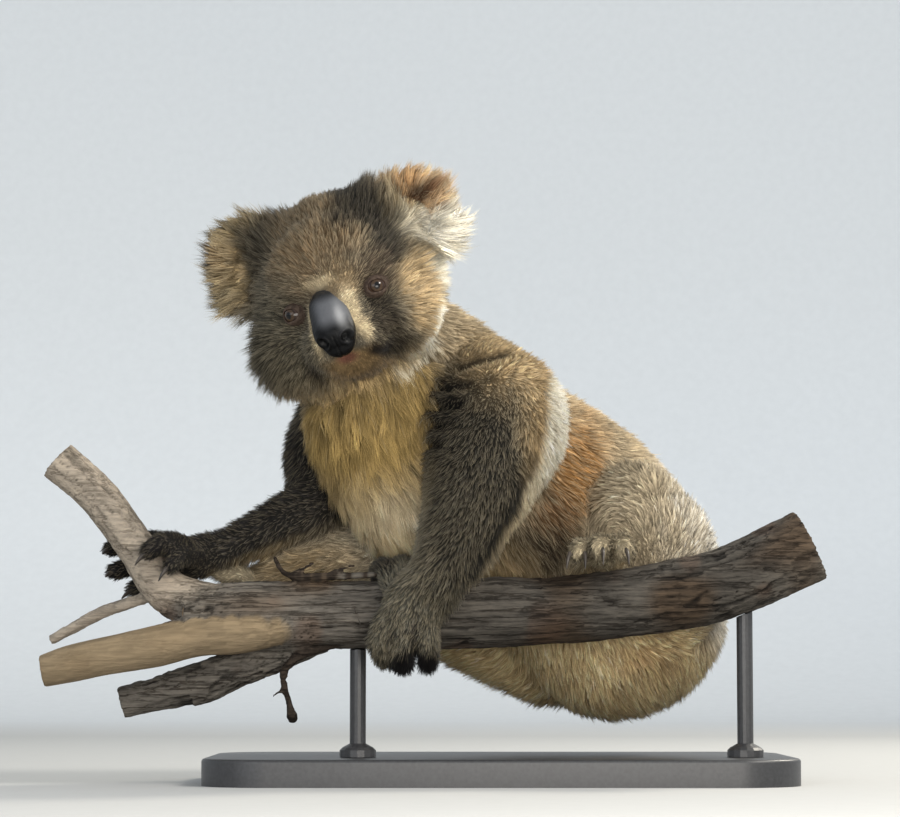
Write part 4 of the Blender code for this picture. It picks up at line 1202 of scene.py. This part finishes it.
IRIS = srgb(60, 45, 31)
IRIS_EDGE = srgb(26, 15, 10)
EYE_WHITE = srgb(92, 70, 58)
SIDES = {1: "left", -1: "right"}
IRIS_ANGLE = 0.60  # from the eye's axis to the iris's rim, in radians
PUPIL = (0.24, 0.31)
CORNEA_RISE = 0.07
LID_OPENING = (0.70, 0.54)
LID_STEPS = 72
LID_THICKNESS = 0.0004
# The lid's section, from the eyeball outwards: how far outside the opening, and how far off the eyeball
LID_PROFILE = (
    (-0.04, 0.01), (0, 0.07), (0.07, 0.13), (0.17, 0.12), (0.3, 0.04), (0.46, -0.12), (0.66, -0.4),
)
NOSE_BLACK = srgb(6, 6, 7)
NOSE_SHEEN = srgb(82, 83, 86)
NOSE_HIGHLIGHT = srgb(158, 158, 158)
NOSTRIL = (0.82, -8.9, -3.25)  # the left one, in the head's own frame


def eye_facing(side):
    """The way an eye looks: out to its side a little, and on to the viewer."""
    return (HEAD.to_3x3() @ Vector((side * 0.42, -1, 0.02))).normalized()


def build_eye(side, finish):
    """A wet eyeball with a domed cornea, a brown iris and an upright slit of a pupil."""
    bm = bmesh.new()
    bmesh.ops.create_uvsphere(bm, u_segments=96, v_segments=64, radius=EYE_RADIUS * CM)
    obj = add_object("eyeball_" + SIDES[side], bm, finish)
    points = points_of(obj.data)
    way = unit(points)
    off_axis = np.arccos(np.clip(way[:, 2], -1, 1))
    dome = 1 + CORNEA_RISE * (1 - smoothstep(0.0, 0.75, off_axis))
    move_points(obj.data, points * dome[:, None])
    around = np.arctan2(way[:, 1], way[:, 0])
    streak = 0.82 + 0.18 * np.sin(around * 37 + 3 * np.sin(around * 5)) * np.cos(around * 11)
    depth = off_axis / IRIS_ANGLE
    colour = IRIS * (streak * (0.75 + 0.55 * depth))[:, None]
    colour = mix(colour, IRIS_EDGE, smoothstep(0.78, 1.0, depth))
    colour = mix(colour, EYE_WHITE * 0.35, smoothstep(1.0, 1.12, depth))
    slit = np.hypot(way[:, 0] / PUPIL[0], way[:, 1] / PUPIL[1])
    colour = mix(colour, 0.004, 1 - smoothstep(0.85, 1.1, slit))
    paint_points(obj.data, colour)
    turn = eye_facing(side).to_track_quat("Z", "Y").to_matrix().to_4x4()
    obj.data.transform(Matrix.Translation(eye_centre(side)) @ turn)
    return obj


def build_lids(side, finish):
    """The rim of the lids: a rolled edge that hugs the eyeball and runs down under the fur."""
    across, high = LID_OPENING
    bm = bmesh.new()
    rings = []
    for out, rise in LID_PROFILE:
        ring = []
        for k in range(LID_STEPS):
            angle = math.tau * k / LID_STEPS
            almond = 1 - 0.10 * math.cos(2 * angle) ** 2
            reach_x = (across + out) * math.cos(angle)
            reach_y = (high * almond + out) * math.sin(angle)
            reach = math.hypot(reach_x, reach_y)
            height = math.sqrt(max((EYE_RADIUS * 1.03) ** 2 - reach**2, 0.0)) + rise
            ring.append(bm.verts.new(cm((reach_x, reach_y, height))))
        rings.append(ring)
    bridge(bm, rings, closed=False)
    obj = add_object("lids_" + SIDES[side], bm, finish)
    thick = obj.modifiers.new("thick", "SOLIDIFY")
    thick.thickness = LID_THICKNESS
    thick.offset = -1
    apply_modifiers(obj)
    facing = eye_facing(side)
    right = (HEAD.to_3x3() @ Vector((0, 0, 1))).cross(facing).normalized()
    turn = Matrix((right, facing.cross(right), facing)).transposed().to_4x4()
    obj.data.transform(Matrix.Translation(eye_centre(side)) @ turn)
    return obj


def build_nose(finish):
    """The leathery nose, with its nostrils and middle groove: black, with a painted grey sheen and a painted
    highlight above, and painted shade in the nostrils and groove.
    """
    bm = bmesh.new()
    sweep(bm, NOSE, flat=0.72, sides=64, steps=16)
    obj = fuse(add_object("nose_pad", bm, finish), NOSE_VOXEL, 6)
    points, normals = points_of(obj.data) / CM, normals_of(obj.data)
    height = points[:, 2]
    colour = np.tile(NOSE_BLACK, (len(points), 1))
    push = np.zeros(len(points))
    for side in SIDES:
        gap = points - np.array(NOSTRIL) * np.array((side, 1, 1))
        # a comma: a round mouth whose tail runs up and out
        tail = np.abs(gap[:, 0] * side - 0.35 * np.maximum(gap[:, 2], 0)) / 0.34
        reach = np.hypot(tail, (gap[:, 2] - 0.12) / 0.42)
        front = points[:, 1] < -7.4
        hole = np.where(front, 1 - smoothstep(0.55, 1.15, reach), 0)
        lip = np.where(front, np.exp(-((reach - 1.25) ** 2) / 0.08), 0)
        push += 0.36 * hole - 0.05 * lip
        # painted shade darkens the inside of each nostril
        colour *= (1 - 0.9 * hole)[:, None]
    groove = np.exp(-((points[:, 0] / 0.07) ** 2)) * smoothstep(-2.6, -3.4, height)
    push += 0.09 * groove
    # painted shade darkens the middle groove
    colour *= (1 - 0.5 * groove)[:, None]
    push += 0.012 * noise(points, 0.16, 31) + 0.02 * noise(points, 0.5, 32)
    # painted sheen: a grey gloss over the upper nose, fading at its top edge and towards the koala's right
    across = points[:, 0] + 0.12 * (height + 2.7)
    sheen_cover = smoothstep(-2.45, -1.35, height) * (1 - 0.85 * smoothstep(-0.5, 0.4, height))
    sheen_cover *= 1 - 0.85 * smoothstep(-0.2, -1.1, across)
    colour = mix(colour, NOSE_SHEEN, sheen_cover)
    # a painted highlight on the upper nose, towards the koala's left
    glint_cover = np.exp(-(((across - 0.95) / 0.3) ** 2) - ((height + 1.5) / 0.8) ** 2)
    colour = mix(colour, NOSE_HIGHLIGHT, 0.6 * glint_cover)
    move_points(obj.data, (points - normals * push[:, None]) * CM)
    paint_points(obj.data, colour)
    obj.data.transform(HEAD)
    return obj


def refine_claw(node, finish):
    """A smooth horn claw from the CAD claw's own shape."""
    obj = add_mesh("horn_" + node.name, node.data.copy(), finish)
    weld = obj.modifiers.new("weld", "WELD")
    weld.merge_threshold = 0.00002
    finer = obj.modifiers.new("finer", "SUBSURF")
    finer.levels = finer.render_levels = 2
    return apply_modifiers(obj)


# ---------------------------------------------------------------- perch and stand

BARK_GREY = srgb(100, 95, 88)
BARK_BROWN = srgb(90, 76, 62)
BARK_RED = srgb(100, 74, 57)
BARE_WOOD = srgb(132, 115, 90)
PALE_BARK = srgb(166, 154, 138)
STICK_BROWN = srgb(48, 41, 35)
CUT_WOOD = srgb(150, 122, 88)
BARK_DEPTH = 0.06
BASE_CORNER = 0.05
BASE_ROLL = 0.0025


def build_perch(finish):
    """The cut limbs as one skin, cracked and ridged along their length."""
    limbs = {"limb": LIMB, "fork": FORK, "pale": PALE_LIMB, "dead": DEAD_LIMB, "twig": SIDE_TWIG}
    bm = bmesh.new()
    for stations in limbs.values():
        sweep(bm, shrunk(stations, BARK_DEPTH), round_ends=False, sides=32)
    for stations in STICKS:
        sweep(bm, stations, sides=12, steps=5)
    obj = fuse(add_object("perch_bark", bm, finish), BARK_VOXEL, 3)
    points, normals = points_of(obj.data) / CM, normals_of(obj.data)
    near = {name: near_bone(points, stations) for name, stations in limbs.items()}
    share, least = shares_of({name: found[0] for name, found in near.items()}, 12)
    along = unit(sum(share[name][:, None] * near[name][1] for name in limbs))
    # the noise is stretched along the grain
    place = points - 0.93 * np.sum(points * along, axis=1)[:, None] * along
    ridges = 1 - np.abs(noise(place, 0.4, 41))
    fissure = noise(place + 3, 0.75, 42) + 0.12 * noise(points, 0.8, 43)
    cracks = smoothstep(0.88, 0.99, 1 - np.abs(fissure)) * smoothstep(-0.3, 0.3, noise(points, 3.6, 49))
    knots = noise(points, 3.2, 44)
    cut = smoothstep(0.8, 0.93, np.abs(np.sum(normals * along, axis=1))) * smoothstep(0.98, 0.9, least)
    rough = (1 - 0.9 * share["pale"] - 0.4 * share["fork"]) * (1 - cut)
    push = rough * (0.10 * ridges - 0.16 * cracks + 0.05 * noise(points, 0.35, 45)) + 0.14 * knots - 0.08
    move_points(obj.data, (points + normals * push[:, None]) * CM)
    colour = BARK_GREY * (1 + 0.25 * noise(place, 1.4, 46))[:, None]
    colour = mix(colour, BARK_BROWN, smoothstep(0.1, 0.6, noise(points, 4.5, 47)))
    colour = mix(colour, BARK_RED, smoothstep(0.35, 0.7, noise(points, 2.8, 48)) * 0.35)
    # painted shade: the limb is darker where it runs under the koala
    shade = smoothstep(-16, 2, points[:, 0]) * smoothstep(30, 17, points[:, 0])
    colour *= (1 - 0.5 * shade)[:, None]
    colour = mix(colour, PALE_BARK, (share["fork"] + share["twig"]) * 0.75)
    colour = mix(colour, BARE_WOOD, smoothstep(0.5, 0.8, share["pale"]) * 0.9)
    colour *= (1 - 0.75 * cracks * rough)[:, None]
    colour *= (0.74 + 0.36 * ridges)[:, None]
    off_stick = np.min([near_bone(points, stations)[0] for stations in STICKS], axis=0)
    colour = mix(colour, STICK_BROWN * (0.8 + 0.4 * ridges)[:, None], smoothstep(1.7, 1.1, off_stick))
    rings = 0.85 + 0.18 * np.sin(46 * least + 2 * noise(points, 1.6, 50))
    colour = mix(colour, CUT_WOOD * rings[:, None], cut)
    paint_points(obj.data, np.clip(colour, 0, 1))
    bark = np.clip(0.16 + 0.84 * rough * (1 - 0.7 * share["twig"]), 0, 1) * (1 - 0.6 * cut)
    obj.data.attributes.new("rough", "FLOAT", "POINT").data.foreach_set("value", bark.astype(np.float32))
    return obj


def build_base(finish):
    """The stand's base with round corners and a rolled top edge, to the CAD base's size."""
    low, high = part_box("stand_base")
    layers = [(low.z, 0.0)]
    roll_steps, corner_steps = 6, 20
    for step in range(roll_steps + 1):
        angle = math.radians(90 * step / roll_steps)
        inset = BASE_ROLL - BASE_ROLL * math.cos(angle)
        layers.append((high.z - BASE_ROLL + BASE_ROLL * math.sin(angle), inset))
    bm = bmesh.new()
    rings = []
    for height, inset in layers:
        ring = []
        for k, (side_x, side_y) in enumerate(((1, 1), (-1, 1), (-1, -1), (1, -1))):
            for step in range(corner_steps + 1):
                angle = math.radians(90) * (k + step / corner_steps)
                x = side_x * (high.x - BASE_CORNER) + (BASE_CORNER - inset) * math.cos(angle)
                y = side_y * (high.y - BASE_CORNER) + (BASE_CORNER - inset) * math.sin(angle)
                ring.append(bm.verts.new((x, y, height)))
        rings.append(ring)
    bridge(bm, rings)
    obj = add_object("stand_slab", bm, finish)
    obj.data.set_sharp_from_angle(angle=math.radians(40))
    return obj


# ---------------------------------------------------------------- studio

FLOOR_FRONT = -6.0
FLOOR_BACK = 3.2
FLOOR_SIDE = 6.0
SWEEP = 1.0  # the radius of the floor's turn into the backdrop
BACKDROP_TOP = 5.0
DAYLIGHT = (0.86, 0.93, 1.0, 1)
# Area lights: where, aimed at, size, watts and colour
LIGHTS = {
    "key": ((1.7, -1.1, 1.9), (-0.03, -0.03, 0.25), 0.8, 60, (1.0, 0.95, 0.87)),
    "sun_from_behind": ((1.5, 1.0, 1.6), (0.02, 0.0, 0.25), 0.5, 48, (1.0, 0.93, 0.8)),
    "fill": ((-1.2, -2.0, 0.5), (-0.05, -0.05, 0.25), 1.4, 14, (0.95, 0.97, 1.0)),
    "bounce": ((0.15, -1.1, 0.04), (0.04, 0.0, 0.12), 0.7, 13, (1.0, 0.95, 0.88)),
}


def paper_material():
    """Studio paper that grows paler towards the backdrop."""
    shader = Shader("studio_paper")
    place = shader.node("ShaderNodeSeparateXYZ")
    shader.link(shader.coordinates(), place.inputs["Vector"])
    distance = shader.node("ShaderNodeMapRange")
    distance.inputs["From Min"].default_value = 1.8
    distance.inputs["From Max"].default_value = 4.0
    shader.link(place.outputs["Y"], distance.inputs["Value"])
    tone = shader.ramp(distance.outputs["Result"], (0.0, (0.42, 0.42, 0.41)), (1.0, (0.84, 0.85, 0.85)))
    grain = shader.ramp(shader.noise(60, 3), (0.3, (0.97, 0.97, 0.97)), (0.7, (1.0, 1.0, 1.0)))
    shader.link(shader.multiply(tone, grain), shader.main.inputs["Base Color"])
    shader.set(Roughness=0.9, Specular_IOR_Level=0.2)
    return shader.material


def build_studio():
    """A pale floor that sweeps up into a backdrop, soft lights and the camera."""
    bm = bmesh.new()
    profile = [(FLOOR_FRONT, 0.0), (FLOOR_BACK, 0.0)]
    steps = 12
    for step in range(1, steps + 1):
        angle = math.radians(90 * step / steps)
        profile.append((FLOOR_BACK + SWEEP * math.sin(angle), SWEEP - SWEEP * math.cos(angle)))
    profile.append((FLOOR_BACK + SWEEP, BACKDROP_TOP))
    left, right = ([bm.verts.new((x, y, z)) for y, z in profile] for x in (-FLOOR_SIDE, FLOOR_SIDE))
    for k in range(len(profile) - 1):
        bm.faces.new((left[k], right[k], right[k + 1], left[k + 1]))
    floor = add_object("studio_floor", bm, paper_material())
    world = bpy.data.worlds.new("studio")
    bpy.context.scene.world = world
    world.use_nodes = True
    world.node_tree.nodes["Background"].inputs["Color"].default_value = DAYLIGHT
    world.node_tree.nodes["Background"].inputs["Strength"].default_value = 0.8
    for name, (spot, aim, size, power, colour) in LIGHTS.items():
        lamp = bpy.data.lights.new(name, "AREA")
        lamp.size = size
        lamp.energy = power
        lamp.color = colour
        obj = link_to_scene(bpy.data.objects.new(name, lamp))
        obj.location = spot
        obj.rotation_euler = (Vector(aim) - Vector(spot)).to_track_quat("-Z", "Y").to_euler()
    camera = link_to_scene(bpy.data.objects.new("camera", bpy.data.cameras.new("camera")))
    pitch = math.radians(CAMERA_PITCH)
    camera.location = AIM - CAMERA_DISTANCE * Vector((0, math.cos(pitch), math.sin(pitch)))
    camera.rotation_euler = (math.pi / 2 + pitch, 0, 0)
    camera.data.lens = camera.data.sensor_width * CAMERA_DISTANCE / PICTURE_WIDTH
    bpy.context.scene.camera = camera
    bpy.context.scene.view_settings.view_transform = "Standard"


# ---------------------------------------------------------------- putting it together

FLESH = (
    "head", "neck", "chest", "rump", "ear_left", "ear_right", "upper_arm_left", "upper_arm_right",
    "forearm_left", "forearm_right", "hand_left", "hand_right", "thigh_left", "thigh_right",
    "shin_left", "shin_right", "foot_left", "foot_right",
)


def place(piece, slot, *nodes):
    """Hangs a piece on the model, with the CAD nodes it stands for."""
    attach(piece, "root")
    if nodes:
        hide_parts(*nodes)


def main():
    build_studio()
    skin = build_skin(fur_material("skin_under_fur", True))
    unwrap(skin)
    coat = build_coat(skin, fur_material("fur", False))
    place(skin, "fur", *FLESH)
    for piece in coat:
        place(piece, "fur")
    eye_finish, lid_finish = eye_material(), grained_material("lid_skin")
    for side, name in SIDES.items():
        place(build_eye(side, eye_finish), "eye_surface", "eye_" + name)
        place(build_lids(side, lid_finish), "fur")
    place(build_nose(nose_material()), "nose_leather", "nose")
    horn = grained_material("claw_horn")
    for name in sorted(n for n in NODES if n.startswith("claw_")):
        place(refine_claw(NODES[name], horn), "claw_horn", name)
    place(build_perch(bark_material()), "bark", *sorted(n for n in NODES if n.startswith("perch_")))
    paint = grained_material("stand_paint")
    place(build_base(paint), "stand_paint", "stand_base")
    for name in ("stand_rod_left", "stand_rod_right"):
        mesh = NODES[name].data
        mesh.materials.clear()
        mesh.materials.append(paint)


main()
